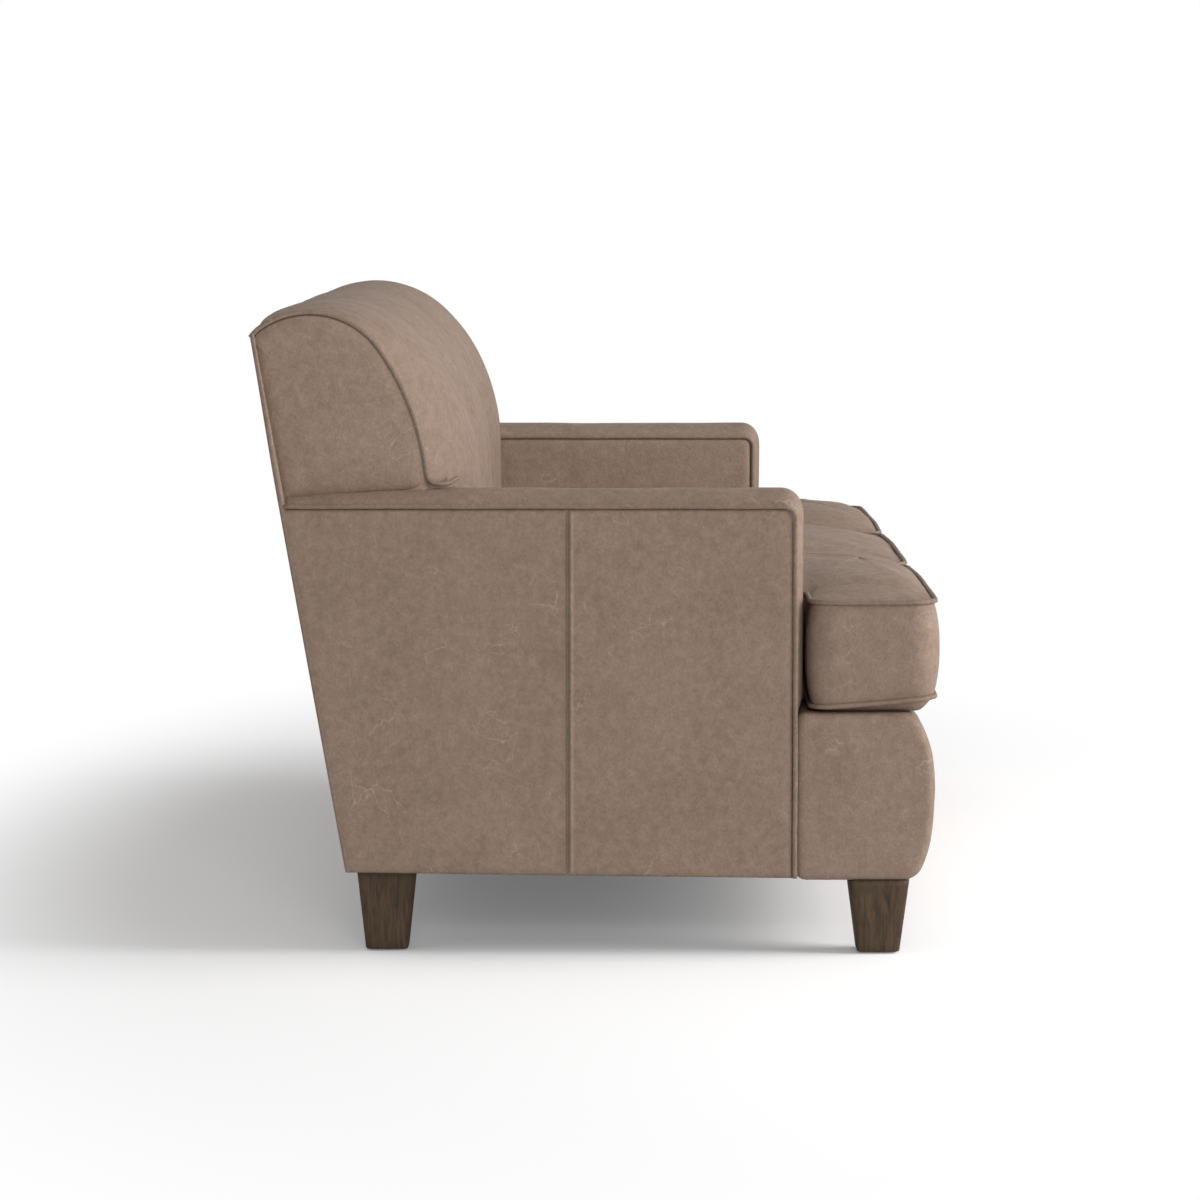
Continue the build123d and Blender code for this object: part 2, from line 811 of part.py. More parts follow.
def cushion_zip(outline):
    # zip tape with its slider, along the middle of the rear side
    low_x, high_x, low_y, high_y = outline[0]
    middle = (low_x + high_x) / 2
    face = high_y + cushion_bulge + welt_gap
    with BuildPart() as zip_tape:
        with Locations((middle, face, (box_bottom + box_top) / 2)):
            Box(zip_length, zip_thickness, zip_height, align=(Align.CENTER, Align.MIN, Align.CENTER))
        with Locations((middle + zip_length / 2 - slider_length, face, (box_bottom + box_top) / 2)):
            Box(slider_length, slider_thickness, zip_height / 2, align=(Align.CENTER, Align.MIN, Align.CENTER))
    return zip_tape


os.makedirs("parts", exist_ok=True)

# Legs and what fastens them
save_pair(tapered_leg(front_leg, base_height), "leg_front")
save_pair(tapered_leg(rear_leg, frame_bottom), "leg_rear")
save(leg_glides(), "leg_glides")
save(leg_blocks(), "leg_blocks")
save(leg_bolts(), "leg_bolts")

# Wooden frame
save(block((-outer_panel_x, outer_panel_x), (rail_front_y, rail_rear_y), (block_top, rail_top)), "front_rail")
side_rail_outline = [
    (rail_rear_y, frame_bottom),
    (inner_rear_y(frame_bottom), frame_bottom),
    (inner_rear_y(rail_top), rail_top),
    (rail_rear_y, rail_top),
]
save_pair(side_slab(side_rail_outline, -outer_panel_x, -side_rail_x), "side_rail")
rear_rail_y = inner_rear_y(block_top) - board
save(
    block((-post_x, post_x), (rear_rail_y - board, rear_rail_y), (block_top, block_top + rear_rail_height)),
    "rear_rail",
)
save(
    block(
        (-side_rail_x, side_rail_x),
        (spring_rail_y, spring_rail_y + board),
        (rail_top - spring_rail_height, rail_top),
    ),
    "spring_rail",
)
save(seat_stretchers(), "seat_stretchers")
arm_rail_z = arm_panel_height - board
save_pair(
    block((-outer_panel_x, -inner_panel_x), (arm_front_y, arm_front_y + board), (rail_top, arm_rail_z)),
    "arm_post",
)
arm_rail_outline = [
    (arm_front_y, arm_rail_z),
    (frame_front_y(arm_rail_z), arm_rail_z),
    (frame_front_y(arm_panel_height), arm_panel_height),
    (arm_front_y, arm_panel_height),
]
save_pair(side_slab(arm_rail_outline, -outer_panel_x, -inner_panel_x), "arm_rail")
back_post_outline = raked_outline(back_frame_depth, 0, frame_bottom, back_frame_top)
save_pair(side_slab(back_post_outline, -side_rail_x, -post_x), "back_post")
top_rail_outline = raked_outline(board, 0, back_frame_top - back_rail_height, back_frame_top)
save(side_slab(top_rail_outline, -post_x, post_x), "back_top_rail")
lower_rail_outline = raked_outline(board, 0, lower_rail_z, lower_rail_z + back_rail_height)
save(side_slab(lower_rail_outline, -post_x, post_x), "back_lower_rail")
save(back_stiles(), "back_stiles")

# Springs, webbing and cloths
save(seat_springs(one_spring()), "seat_springs")
save(spring_clips(), "spring_clips")
save(back_webbing(), "back_webbing")
save(
    block(
        (-arm_inner_x + fit_gap, arm_inner_x - fit_gap),
        (border_rear_y + fit_gap, spring_rail_y + board),
        (deck_bottom, deck_height),
    ),
    "seat_deck",
)
save(dust_cover(), "dust_cover")

# Upholstered front, arms and back
save(front_border(), "front_border")
save_pair(outside_arm(), "outside_arm")
save_pair(inside_arm(), "inside_arm")
save_pair(arm_band(), "arm_band")
save_pair(arm_welts(), "arm_welts")
save_pair(back_section_end(), "back_section")
save(back_section_middle(), "back_section_middle")
save_pair(back_end(), "back_end")
save_pair(back_end_welt(), "back_end_welt")
outside_back_outline = [
    (inner_rear_y(outside_back_bottom), outside_back_bottom),
    (rear_y(outside_back_bottom), outside_back_bottom),
    (rear_y(back_edge_height), back_edge_height),
    (inner_rear_y(back_edge_height), back_edge_height),
]
save(side_slab(outside_back_outline, -half_width, half_width), "outside_back")

# Loose seat cushions
core_inset = cover_thickness + core_gap
save_pair(cushion_cover(end_outline), "seat_cover")
save_pair(cushion_solid(end_outline, core_inset), "seat_core")
save_pair(cushion_welts(end_outline), "seat_welts")
save_pair(cushion_zip(end_outline), "seat_zip")
save(cushion_cover(middle_outline), "seat_cover_middle")
save(cushion_solid(middle_outline, core_inset), "seat_core_middle")
save(cushion_welts(middle_outline), "seat_welts_middle")
save(cushion_zip(middle_outline), "seat_zip_middle")
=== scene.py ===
import bpy
import bmesh
import numpy as np
import json
import math
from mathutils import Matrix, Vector


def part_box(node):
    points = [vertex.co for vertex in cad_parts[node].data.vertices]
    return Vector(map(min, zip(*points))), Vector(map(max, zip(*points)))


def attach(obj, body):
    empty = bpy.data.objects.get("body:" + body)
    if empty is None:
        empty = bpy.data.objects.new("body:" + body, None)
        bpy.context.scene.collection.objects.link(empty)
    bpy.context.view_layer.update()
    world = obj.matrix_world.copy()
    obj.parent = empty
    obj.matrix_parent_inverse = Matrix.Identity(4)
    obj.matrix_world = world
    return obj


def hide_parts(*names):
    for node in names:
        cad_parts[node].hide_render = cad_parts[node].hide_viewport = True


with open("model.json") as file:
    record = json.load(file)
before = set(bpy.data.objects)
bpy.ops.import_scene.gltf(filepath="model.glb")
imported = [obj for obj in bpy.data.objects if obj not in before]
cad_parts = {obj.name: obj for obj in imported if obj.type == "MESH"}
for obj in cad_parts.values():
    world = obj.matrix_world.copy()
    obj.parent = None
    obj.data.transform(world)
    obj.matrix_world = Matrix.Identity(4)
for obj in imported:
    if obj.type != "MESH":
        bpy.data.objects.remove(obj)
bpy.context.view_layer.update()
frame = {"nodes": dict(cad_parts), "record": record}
nodes = frame["nodes"]
print("frame loaded:", len(nodes), "nodes")

# sizes that several pieces share, in mm, as the CAD has them
sofa = {
    "halfWidth": 1003.0,
    "armInner": 863.0,
    "armTop": 628.0,
    "armFront": -276.0,
    "armCorner": 14.0,
    "weltRadius": 3.5,
    "weltSeat": 3.75,
    "backEdge": 874.0,
    "rearEdge": 483.5,
    "rake": math.tan(math.radians(10)),
    "rearPanel": 6.09,
    "backFrame": 62.0,
    "seam": 334.33,
}


def rearY(z):
    # rear face of the outside back: a straight line that leans with the rake
    return sofa["rearEdge"] - (sofa["backEdge"] - z) * sofa["rake"]


def innerRearY(z):
    # front face of the outside back
    return rearY(z) - sofa["rearPanel"]


def frameFrontY(z):
    # front of the wooden back frame
    return innerRearY(z) - sofa["backFrame"]


def boxOf(node):
    # lowest and highest corner of a CAD node, in mm
    return [np.array(corner) * 1000 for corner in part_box(node)]


def smooth(low, high, value):
    # eased step from 0 at low to 1 at high
    t = np.clip((value - low) / (high - low), 0, 1)
    return t * t * (3 - 2 * t)


def ripple(a, b, seed):
    # gentle uneven swell of height 1: three crossed sine waves of different lengths
    return (
        np.sin(a / 61 + seed) * np.sin(b / 47 + 2.1 * seed)
        + 0.6 * np.sin(a / 29 + b / 37 + 1.7 * seed)
        + 0.4 * np.sin(a / 17 - b / 23 + 0.6 * seed)
    ) / 2


def rolledIn(gap, depth, width):
    # quarter-round edge: falls by depth at the edge and is level beyond width
    return depth * (1 - np.sqrt(1 - np.clip(1 - gap / width, 0, 1) ** 2))


# colours and materials

def hexColour(text):
    # sRGB hex to linear
    v = np.array([int(text[i:i + 2], 16) for i in (1, 3, 5)]) / 255
    return tuple(np.where(v <= 0.04045, v / 12.92, ((v + 0.055) / 1.055) ** 2.4)) + (1.0,)


def addNode(tree, kind, settings=None, links=None):
    # settings are the node's own or those of its sockets, and links lead to its sockets
    node = tree.nodes.new(kind)
    for key, value in (settings or {}).items():
        if isinstance(key, str) and hasattr(node, key):
            setattr(node, key, value)
        else:
            node.inputs[key].default_value = value
    for key, source in (links or {}).items():
        tree.links.new(source, node.inputs[key])
    return node


def newTree(name, roughness, ior, specular):
    # a material with its shader and output, and the coordinates that patterns read
    material = bpy.data.materials.new(name)
    material.use_nodes = True
    tree = material.node_tree
    tree.nodes.clear()
    shader = addNode(tree, "ShaderNodeBsdfPrincipled",
        {"Roughness": roughness, "IOR": ior, "Specular IOR Level": specular})
    addNode(tree, "ShaderNodeOutputMaterial", links={"Surface": shader.outputs[0]})
    place = addNode(tree, "ShaderNodeTexCoord").outputs["Object"]
    return material, tree, shader, place


hide = {
    "deep": "#756356", "main": "#7d6b5d", "worn": "#8a7669", "vein": "#a08c7d",
    "blotch": 110, "mottle": 15, "grain": 3.2, "crease": 34, "roughness": 0.66,
}


def waxedLeather(name, shade):
    # cowhide, drum dyed and waxed: cloudy taupe, paler where it is rubbed, with fine pebbled grain,
    # a few pale healed scratches and a dull gloss
    material, tree, shader, place = newTree(name, hide["roughness"], 1.45, 0.2)
    cloud = addNode(tree, "ShaderNodeTexNoise",
        {"Scale": 1000 / hide["blotch"], "Detail": 5.0, "Roughness": 0.58, "Distortion": 0.4},
        {"Vector": place})
    mottle = addNode(tree, "ShaderNodeTexNoise",
        {"Scale": 1000 / hide["mottle"], "Detail": 4.0, "Roughness": 0.6}, {"Vector": place})
    speck = addNode(tree, "ShaderNodeTexNoise", {"Scale": 1000 / 4.0, "Detail": 2.0}, {"Vector": place})
    cloudPart = addNode(tree, "ShaderNodeMapRange", {"From Min": 0.34, "From Max": 0.66},
        {"Value": cloud.outputs[0]})
    mottlePart = addNode(tree, "ShaderNodeMapRange", {"From Min": 0.36, "From Max": 0.72, "To Max": 0.6},
        {"Value": mottle.outputs[0]})
    first = addNode(tree, "ShaderNodeMix",
        {"data_type": "RGBA", 6: hexColour(hide["deep"]), 7: hexColour(hide["main"])},
        {0: cloudPart.outputs[0]})
    second = addNode(tree, "ShaderNodeMix", {"data_type": "RGBA", 7: hexColour(hide["worn"])},
        {0: mottlePart.outputs[0], 6: first.outputs[2]})
    # healed scratches: cell borders on wandering coordinates, kept only in patches
    wander = addNode(tree, "ShaderNodeTexNoise", {"Scale": 1000 / 60, "Detail": 3.0}, {"Vector": place})
    shift = addNode(tree, "ShaderNodeVectorMath", {"operation": "MULTIPLY", 1: (0.07, 0.07, 0.07)},
        {0: wander.outputs["Color"]})
    moved = addNode(tree, "ShaderNodeVectorMath", {"operation": "ADD"}, {0: place, 1: shift.outputs[0]})
    cells = addNode(tree, "ShaderNodeTexVoronoi",
        {"feature": "DISTANCE_TO_EDGE", "Scale": 1000 / hide["crease"]}, {"Vector": moved.outputs[0]})
    line = addNode(tree, "ShaderNodeMapRange",
        {"From Min": 0.0, "From Max": 0.03, "To Min": 1.0, "To Max": 0.0}, {"Value": cells.outputs["Distance"]})
    patch = addNode(tree, "ShaderNodeTexNoise", {"Scale": 1000 / 70, "Detail": 2.0},
        {"Vector": moved.outputs[0]})
    kept = addNode(tree, "ShaderNodeMapRange", {"From Min": 0.55, "From Max": 0.68, "To Max": 0.55},
        {"Value": patch.outputs[0]})
    vein = addNode(tree, "ShaderNodeMath", {"operation": "MULTIPLY"}, {0: line.outputs[0], 1: kept.outputs[0]})
    third = addNode(tree, "ShaderNodeMix", {"data_type": "RGBA", 7: hexColour(hide["vein"])},
        {0: vein.outputs[0], 6: second.outputs[2]})
    fleck = addNode(tree, "ShaderNodeMapRange",
        {"From Min": 0.3, "From Max": 0.7, "To Min": shade - 0.1, "To Max": shade + 0.1},
        {"Value": speck.outputs[0]})
    whole = addNode(tree, "ShaderNodeVectorMath", {"operation": "SCALE"},
        {0: third.outputs[2], "Scale": fleck.outputs[0]})
    tree.links.new(whole.outputs[0], shader.inputs["Base Color"])
    gloss = addNode(tree, "ShaderNodeMapRange",
        {"From Min": 0.3, "From Max": 0.7, "To Min": hide["roughness"] + 0.08,
        "To Max": hide["roughness"] - 0.06}, {"Value": mottle.outputs[0]})
    tree.links.new(gloss.outputs[0], shader.inputs["Roughness"])
    # real grain is about 1 mm, drawn at 3 mm so that it shows
    pebble = addNode(tree, "ShaderNodeTexVoronoi", {"Scale": 1000 / hide["grain"]}, {"Vector": place})
    fine = addNode(tree, "ShaderNodeBump", {"Strength": 0.4, "Distance": 0.0007},
        {"Height": pebble.outputs["Distance"]})
    soft = addNode(tree, "ShaderNodeBump", {"Strength": 0.3, "Distance": 0.004},
        {"Height": mottle.outputs[0], "Normal": fine.outputs[0]})
    tree.links.new(soft.outputs[0], shader.inputs["Normal"])
    return material


def grainedWood(name, dark, pale, roughness, ring, along):
    # sawn timber: rings stretched along the board, with short dark pores between them
    material, tree, shader, place = newTree(name, roughness, 1.5, 0.25)
    stretch = [1.0, 1.0, 1.0]
    stretch[along] = 0.07
    turned = addNode(tree, "ShaderNodeMapping", {"Scale": stretch}, {"Vector": place})
    rings = addNode(tree, "ShaderNodeTexNoise",
        {"Scale": 1000 / ring, "Detail": 6.0, "Roughness": 0.62, "Distortion": 0.8},
        {"Vector": turned.outputs[0]})
    pores = addNode(tree, "ShaderNodeTexNoise", {"Scale": 1000 / 2.4, "Detail": 2.0},
        {"Vector": turned.outputs[0]})
    band = addNode(tree, "ShaderNodeMapRange", {"From Min": 0.32, "From Max": 0.68},
        {"Value": rings.outputs[0]})
    colour = addNode(tree, "ShaderNodeMix", {"data_type": "RGBA", 6: hexColour(dark), 7: hexColour(pale)},
        {0: band.outputs[0]})
    pore = addNode(tree, "ShaderNodeMapRange",
        {"From Min": 0.3, "From Max": 0.5, "To Min": 0.72, "To Max": 1.0}, {"Value": pores.outputs[0]})
    whole = addNode(tree, "ShaderNodeVectorMath", {"operation": "SCALE"},
        {0: colour.outputs[2], "Scale": pore.outputs[0]})
    tree.links.new(whole.outputs[0], shader.inputs["Base Color"])
    bump = addNode(tree, "ShaderNodeBump", {"Strength": 0.25, "Distance": 0.0008}, {"Height": pores.outputs[0]})
    tree.links.new(bump.outputs[0], shader.inputs["Normal"])
    return material


def wovenCloth(name, dark, pale, thread, roughness):
    # plain weave: threads cross at right angles, so the surface is a fine check of raised crowns
    material, tree, shader, place = newTree(name, roughness, 1.45, 0.2)
    bands = 2 * math.pi / 20 * 1000 / thread  # a wave of scale 1 repeats every 2 pi / 20 m
    warp = addNode(tree, "ShaderNodeTexWave", {"bands_direction": "X", "Scale": bands, "Distortion": 0.4},
        {"Vector": place})
    weft = addNode(tree, "ShaderNodeTexWave", {"bands_direction": "Y", "Scale": bands, "Distortion": 0.4},
        {"Vector": place})
    weave = addNode(tree, "ShaderNodeMath", {"operation": "MULTIPLY"},
        {0: warp.outputs["Fac"], 1: weft.outputs["Fac"]})
    colour = addNode(tree, "ShaderNodeMix", {"data_type": "RGBA", 6: hexColour(dark), 7: hexColour(pale)},
        {0: weave.outputs[0]})
    tree.links.new(colour.outputs[2], shader.inputs["Base Color"])
    bump = addNode(tree, "ShaderNodeBump", {"Strength": 0.4, "Distance": 0.0008}, {"Height": weave.outputs[0]})
    tree.links.new(bump.outputs[0], shader.inputs["Normal"])
    return material


def plainMetal(name, dark, pale, roughness):
    # rolled or drawn steel: even grey with faint darker stains
    material, tree, shader, place = newTree(name, roughness, 1.5, 0.5)
    shader.inputs["Metallic"].default_value = 1.0
    stain = addNode(tree, "ShaderNodeTexNoise", {"Scale": 1000 / 18, "Detail": 4.0}, {"Vector": place})
    colour = addNode(tree, "ShaderNodeMix", {"data_type": "RGBA", 6: hexColour(dark), 7: hexColour(pale)},
        {0: stain.outputs[0]})
    tree.links.new(colour.outputs[2], shader.inputs["Base Color"])
    bump = addNode(tree, "ShaderNodeBump", {"Strength": 0.1, "Distance": 0.0004}, {"Height": stain.outputs[0]})
    tree.links.new(bump.outputs[0], shader.inputs["Normal"])
    return material


def mouldedNylon(name, dark, pale, roughness):
    # injection-moulded nylon: dark and slightly cloudy, with a fine spark-eroded texture
    material, tree, shader, place = newTree(name, roughness, 1.53, 0.4)
    cloud = addNode(tree, "ShaderNodeTexNoise", {"Scale": 1000 / 9, "Detail": 3.0}, {"Vector": place})
    colour = addNode(tree, "ShaderNodeMix", {"data_type": "RGBA", 6: hexColour(dark), 7: hexColour(pale)},
        {0: cloud.outputs[0]})
    tree.links.new(colour.outputs[2], shader.inputs["Base Color"])
    spark = addNode(tree, "ShaderNodeTexNoise", {"Scale": 1000 / 1.5}, {"Vector": place})
    bump = addNode(tree, "ShaderNodeBump", {"Strength": 0.15, "Distance": 0.0004}, {"Height": spark.outputs[0]})
    tree.links.new(bump.outputs[0], shader.inputs["Normal"])
    return material


leather = waxedLeather("waxed taupe cowhide", 1.0)
weltLeather = waxedLeather("waxed taupe cowhide over cord", 0.9)
walnut = grainedWood("stained walnut, lacquered", "#2f2318", "#513f2d", 0.62, 7, 2)
poplar = grainedWood("sawn poplar", "#b79a6c", "#d3bb8e", 0.75, 14, 0)
wire = plainMetal("drawn spring steel", "#55565a", "#7b7c80", 0.38)
zinc = plainMetal("zinc-plated steel", "#a6a8ab", "#c9cbcd", 0.35)
strap = wovenCloth("woven jute webbing", "#7c6a4d", "#b19a74", 3, 0.85)
deckCloth = wovenCloth("woven cotton platform cloth", "#4d443c", "#6d6257", 2, 0.9)
dustCloth = wovenCloth("spun polypropylene dust cloth", "#161616", "#2b2b2b", 2, 0.9)
nylon = mouldedNylon("moulded nylon", "#1d1b19", "#2e2b28", 0.5)
zipTape = mouldedNylon("nylon coil zip", "#4a3d34", "#5e4f45", 0.55)
print("materials made:", len(bpy.data.materials))


# mesh helpers

def gridFaces(rows, columns, closeRows=False, closeColumns=False):
    # quads between neighbouring rows and columns of a grid
    i = np.arange(rows if closeRows else rows - 1)[:, None]
    j = np.arange(columns if closeColumns else columns - 1)[None, :]
    nextI, nextJ = (i + 1) % rows, (j + 1) % columns
    corners = [i * columns + j, i * columns + nextJ, nextI * columns + nextJ, nextI * columns + j]
    return np.stack(corners, -1).reshape(-1, 4)


def meshFrom(name, blocks):
    # joins grids of points in mm, merges shared borders and turns the faces outwards
    counts = [points.reshape(-1, 3).shape[0] for points, faces in blocks]
    starts = np.cumsum([0] + counts)[:-1]
    points = np.concatenate([points.reshape(-1, 3) for points, faces in blocks]) * 0.001
    faces = np.concatenate([faces + start for (grid, faces), start in zip(blocks, starts)])
    mesh = bpy.data.meshes.new(name)
    mesh.from_pydata(points.tolist(), [], faces.tolist())
    work = bmesh.new()
    work.from_mesh(mesh)
    bmesh.ops.remove_doubles(work, verts=work.verts, dist=2e-6)
    bmesh.ops.recalc_face_normals(work, faces=work.faces)
    work.to_mesh(mesh)
    work.free()
    mesh.shade_smooth()
    return mesh


def shellBlocks(front, back):
    # the two faces of a pad, which meet along their common border
    back = back.copy()
    back[0], back[-1], back[:, 0], back[:, -1] = front[0], front[-1], front[:, 0], front[:, -1]
    faces = gridFaces(*front.shape[:2])
    return [(front, faces), (back, faces)]


def tubeBlock(path, radius, reference, closed=False, sides=12):
    # a circle carried along a path: centre + radius (cos a across + sin a upward)
    step = np.roll(path, -1, 0) - np.roll(path, 1, 0) if closed else np.gradient(path, axis=0)
    tangent = step / np.linalg.norm(step, axis=1, keepdims=True)
    across = np.cross(tangent, reference)
    across /= np.linalg.norm(across, axis=1, keepdims=True)
    upward = np.cross(across, tangent)
    turn = np.linspace(0, 2 * np.pi, sides, endpoint=False)[None, :, None]
    points = path[:, None] + radius * (np.cos(turn) * across[:, None] + np.sin(turn) * upward[:, None])
    if not closed:
        ends = [np.repeat(path[i:i + 1, None], sides, 1) for i in (0, len(path) - 1)]
        points = np.concatenate([ends[0], points, ends[1]])
    return points, gridFaces(len(points), sides, closed, True)


def eased(path, passes):
    # rounds the corners of a path: each inner point moves to the mean of itself and its neighbours
    for _ in range(passes):
        path[1:-1] = (path[:-2] + path[1:-1] + path[2:]) / 3
    return path


def evenly(path, step):
    # the same path with points at equal steps
    run = np.concatenate([[0], np.cumsum(np.linalg.norm(np.diff(path, axis=0), axis=1))])
    marks = np.linspace(0, run[-1], int(run[-1] / step) + 2)
    return np.stack([np.interp(marks, run, path[:, k]) for k in range(path.shape[1])], -1)


def mirrored(blocks):
    # the same shape at the other end of the sofa
    return [(points * np.array([-1, 1, 1]), faces) for points, faces in blocks]


def placePiece(name, mesh, body, material, replaced=(), levels=0):
    # levels says how often the piece's mesh is subdivided
    piece = bpy.data.objects.new(name, mesh)
    bpy.context.scene.collection.objects.link(piece)
    mesh.materials.append(material)
    if levels:
        finer = piece.modifiers.new("finer", "SUBSURF")
        finer.levels = levels
        finer.render_levels = levels
    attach(piece, body)
    if replaced:
        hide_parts(*replaced)


def placePair(name, blocks, material, node):
    # blocks as drawn are the left piece, and their mirror image is the right one
    for side, shape in (("left", blocks), ("right", mirrored(blocks))):
        label = name + side.title()
        placePiece(label, meshFrom(label, shape), "frame", material, [f"{node}_{side}"])


# legs

legShape = {"top": 86.0, "foot": 60.0, "edge": 3.0, "rows": 14, "around": 48}


def taperedLeg(node):
    # rounded square carried up from foot to top, its half side growing evenly with height
    low, high = boxOf(node)
    centre, tall = (low + high) / 2, high[2] - low[2]
    rows, around = legShape["rows"], legShape["around"]
    turn = np.linspace(0, 2 * np.pi, around, endpoint=False) + np.pi / around
    height = np.concatenate([[0, 0, 1.0, 3.0], np.linspace(3, tall, rows)[1:], [tall]])
    shrink = np.concatenate([[1, 0.06, 0.02, 0.0], np.zeros(rows - 1), [1]])  # bevelled foot, closed ends
    share = height / tall
    half = (legShape["foot"] + (legShape["top"] - legShape["foot"]) * share) / 2 * (1 - shrink)
    edge = np.minimum(legShape["edge"], half)
    # place on a rounded square: corner centre plus a quarter circle, spread by the angle
    quarter = np.mod(turn, np.pi / 2) / (np.pi / 2)
    bend = np.floor(turn / (np.pi / 2)) * np.pi / 2 + smooth(0.25, 0.75, quarter) * np.pi / 2
    flatX = np.clip(np.cos(turn) / np.maximum(np.abs(np.sin(turn)), 1e-6), -1, 1)
    flatY = np.clip(np.sin(turn) / np.maximum(np.abs(np.cos(turn)), 1e-6), -1, 1)
    reach = half - edge
    x = centre[0] + reach[:, None] * flatX + edge[:, None] * np.cos(bend)
    y = centre[1] + reach[:, None] * flatY + edge[:, None] * np.sin(bend)
    z = np.repeat((low[2] + height)[:, None], around, 1)
    points = np.stack([x, y, z], -1)
    return [(points, gridFaces(len(points), around, False, True))]


for end in ("front", "rear"):
    for side in ("left", "right"):
        node = f"leg_{end}_{side}"
        name = "leg" + end.title() + side.title()
        placePiece(name, meshFrom(name, taperedLeg(node)), "frame", walnut, [node])
print("legs made")


# arms: outer and inner panels, the padded band over them and its piping

armPanel = {
    "outer": 1003.0, "outerBack": 991.0, "innerFace": 863.0, "innerBack": 873.0,
    "frontLow": 110.0, "rearLow": 118.0, "innerLow": 317.0, "rearGap": 0.5, "seamY": 36.0,
    "bead": 2.6, "groove": 3.0, "seamDip": 1.2, "roll": 4.6, "rollWidth": 10.0, "slack": 0.9,
}


def cornerPull(y, z):
    # points beyond the rounded front corner move onto its arc; also gives the distance inside it
    r = sofa["armCorner"]
    cy, cz = sofa["armFront"] + r, sofa["armTop"] - r
    away = np.hypot(y - cy, z - cz)
    corner = (y < cy) & (z > cz)
    scale = np.where(corner & (away > r), r / np.maximum(away, 1e-6), 1.0)
    inside = np.where(corner, np.maximum(r - away, 0), 1e3)
    return cy + (y - cy) * scale, cz + (z - cz) * scale, inside


def outsideArm():
    # flat panel between the raked rear edge and the front welt; its edges roll in, and a raised bead
    # with a groove behind it runs down the seam
    a, top, front = armPanel, sofa["armTop"], sofa["armFront"]
    besideSeam = np.array([0, 0.7, 1.4, 2.1, 2.8, 3.5, 4.3, 5.2, 6.4, 8.2, 11]) / 340
    k = np.concatenate([besideSeam, np.linspace(0.05, 0.97, 34), [0.985, 0.994, 1.0]])
    v = np.concatenate([[0, 0.004, 0.01, 0.02], np.linspace(0.04, 0.96, 54), [0.98, 0.99, 0.996, 1.0]])[:, None]
    lowSeam = a["rearLow"] + (a["frontLow"] - a["rearLow"]) * 0.52
    zRear = (a["rearLow"] + (lowSeam - a["rearLow"]) * (1 - k[::-1])) * (1 - v) + top * v
    yRear = a["seamY"] + (rearY(zRear) - a["rearGap"] - a["seamY"]) * k[::-1]
    zFront = (lowSeam + (a["frontLow"] - lowSeam) * k[1:]) * (1 - v) + top * v
    yFront = a["seamY"] + (front - a["seamY"]) * np.repeat(k[None, 1:], len(v), 0)
    y = np.concatenate([yRear, yFront], 1)
    z = np.concatenate([zRear, zFront], 1)
    low = np.concatenate([zRear[0], zFront[0]])[None, :]
    y, z, inside = cornerPull(y, z)
    gap = np.minimum.reduce([rearY(z) - a["rearGap"] - y, y - front, top - z, z - low, inside])
    q = y - a["seamY"]
    stitch = a["bead"] * np.exp(-((q + 2.2) / 2.5) ** 2) - a["groove"] * np.exp(-((q - 2.4) / 1.8) ** 2)
    stitch -= a["seamDip"] * np.exp(-np.abs(q) / 14)
    slack = a["slack"] * (ripple(y, z, 0.7) - 0.6) * smooth(0, 40, gap)
    x = a["outer"] - rolledIn(gap, a["roll"], a["rollWidth"]) + stitch * smooth(0, 6, gap) + slack
    face = np.stack([-x, y, z], -1)
    back = np.stack([np.full_like(x, -a["outerBack"]), y, z], -1)
    return shellBlocks(face, back)


def insideArm():
    # plain panel on the inner side of the arm; its edges roll in under the welt
    a, top, front = armPanel, sofa["armTop"], sofa["armFront"]
    u = np.concatenate([np.linspace(0, 0.96, 40), [0.975, 0.985, 0.993, 1.0]])[None, :]
    v = np.concatenate([np.linspace(0, 0.95, 26), [0.97, 0.985, 0.993, 1.0]])[:, None]
    z = a["innerLow"] + (top - a["innerLow"]) * v + 0 * u
    y = frameFrontY(z) + (front - frameFrontY(z)) * u
    y, z, inside = cornerPull(y, z)
    gap = np.minimum.reduce([y - front, top - z, inside])
    slack = a["slack"] * (0.6 + ripple(y, z, 2.3)) * smooth(0, 40, gap) * 0.5
    x = a["innerFace"] + rolledIn(gap, a["roll"], a["rollWidth"]) + slack
    face = np.stack([-x, y, z], -1)
    back = np.stack([np.full_like(x, -a["innerBack"]), y, z], -1)
    return shellBlocks(face, back)


def armRun(out, rear, low, count):
    # side view of the arm's edge moved outwards by out: along the top, round the corner, down the front
    top, front, corner = sofa["armTop"] + out, sofa["armFront"] - out, sofa["armCorner"] + out
    turn = np.linspace(0, np.pi / 2, 16)
    y = np.concatenate([
        np.linspace(rear, front + corner, count)[:-1], front + corner - corner * np.sin(turn),
        np.full(count, front)[1:]])
    z = np.concatenate([
        np.full(count, top)[:-1], top - corner + corner * np.cos(turn),
        np.linspace(top - corner, low, count)[1:]])
    face = np.concatenate([np.zeros(count - 1), turn, np.full(count - 1, np.pi / 2)])
    return y, z, -np.sin(face), np.cos(face)


bandShape = {
    "middle": 933.0, "half": 62.75, "low": 110.0, "rearGap": 5.0, "depth": 3.0,
    "riser": 8.0, "topDome": 18.0, "frontDome": 9.0, "pressedFrom": 332.0, "pressedTo": 366.0,
    "slack": 0.7, "crease": 0.9, "creaseStep": 9.5,
}


def bandHeight(w, dome):
    # crown across the band: a quick rise beside the welts and a round dome between them
    return bandShape["riser"] * (1 - np.abs(w) ** 9) + dome * (1 - np.abs(w) ** 2.3)


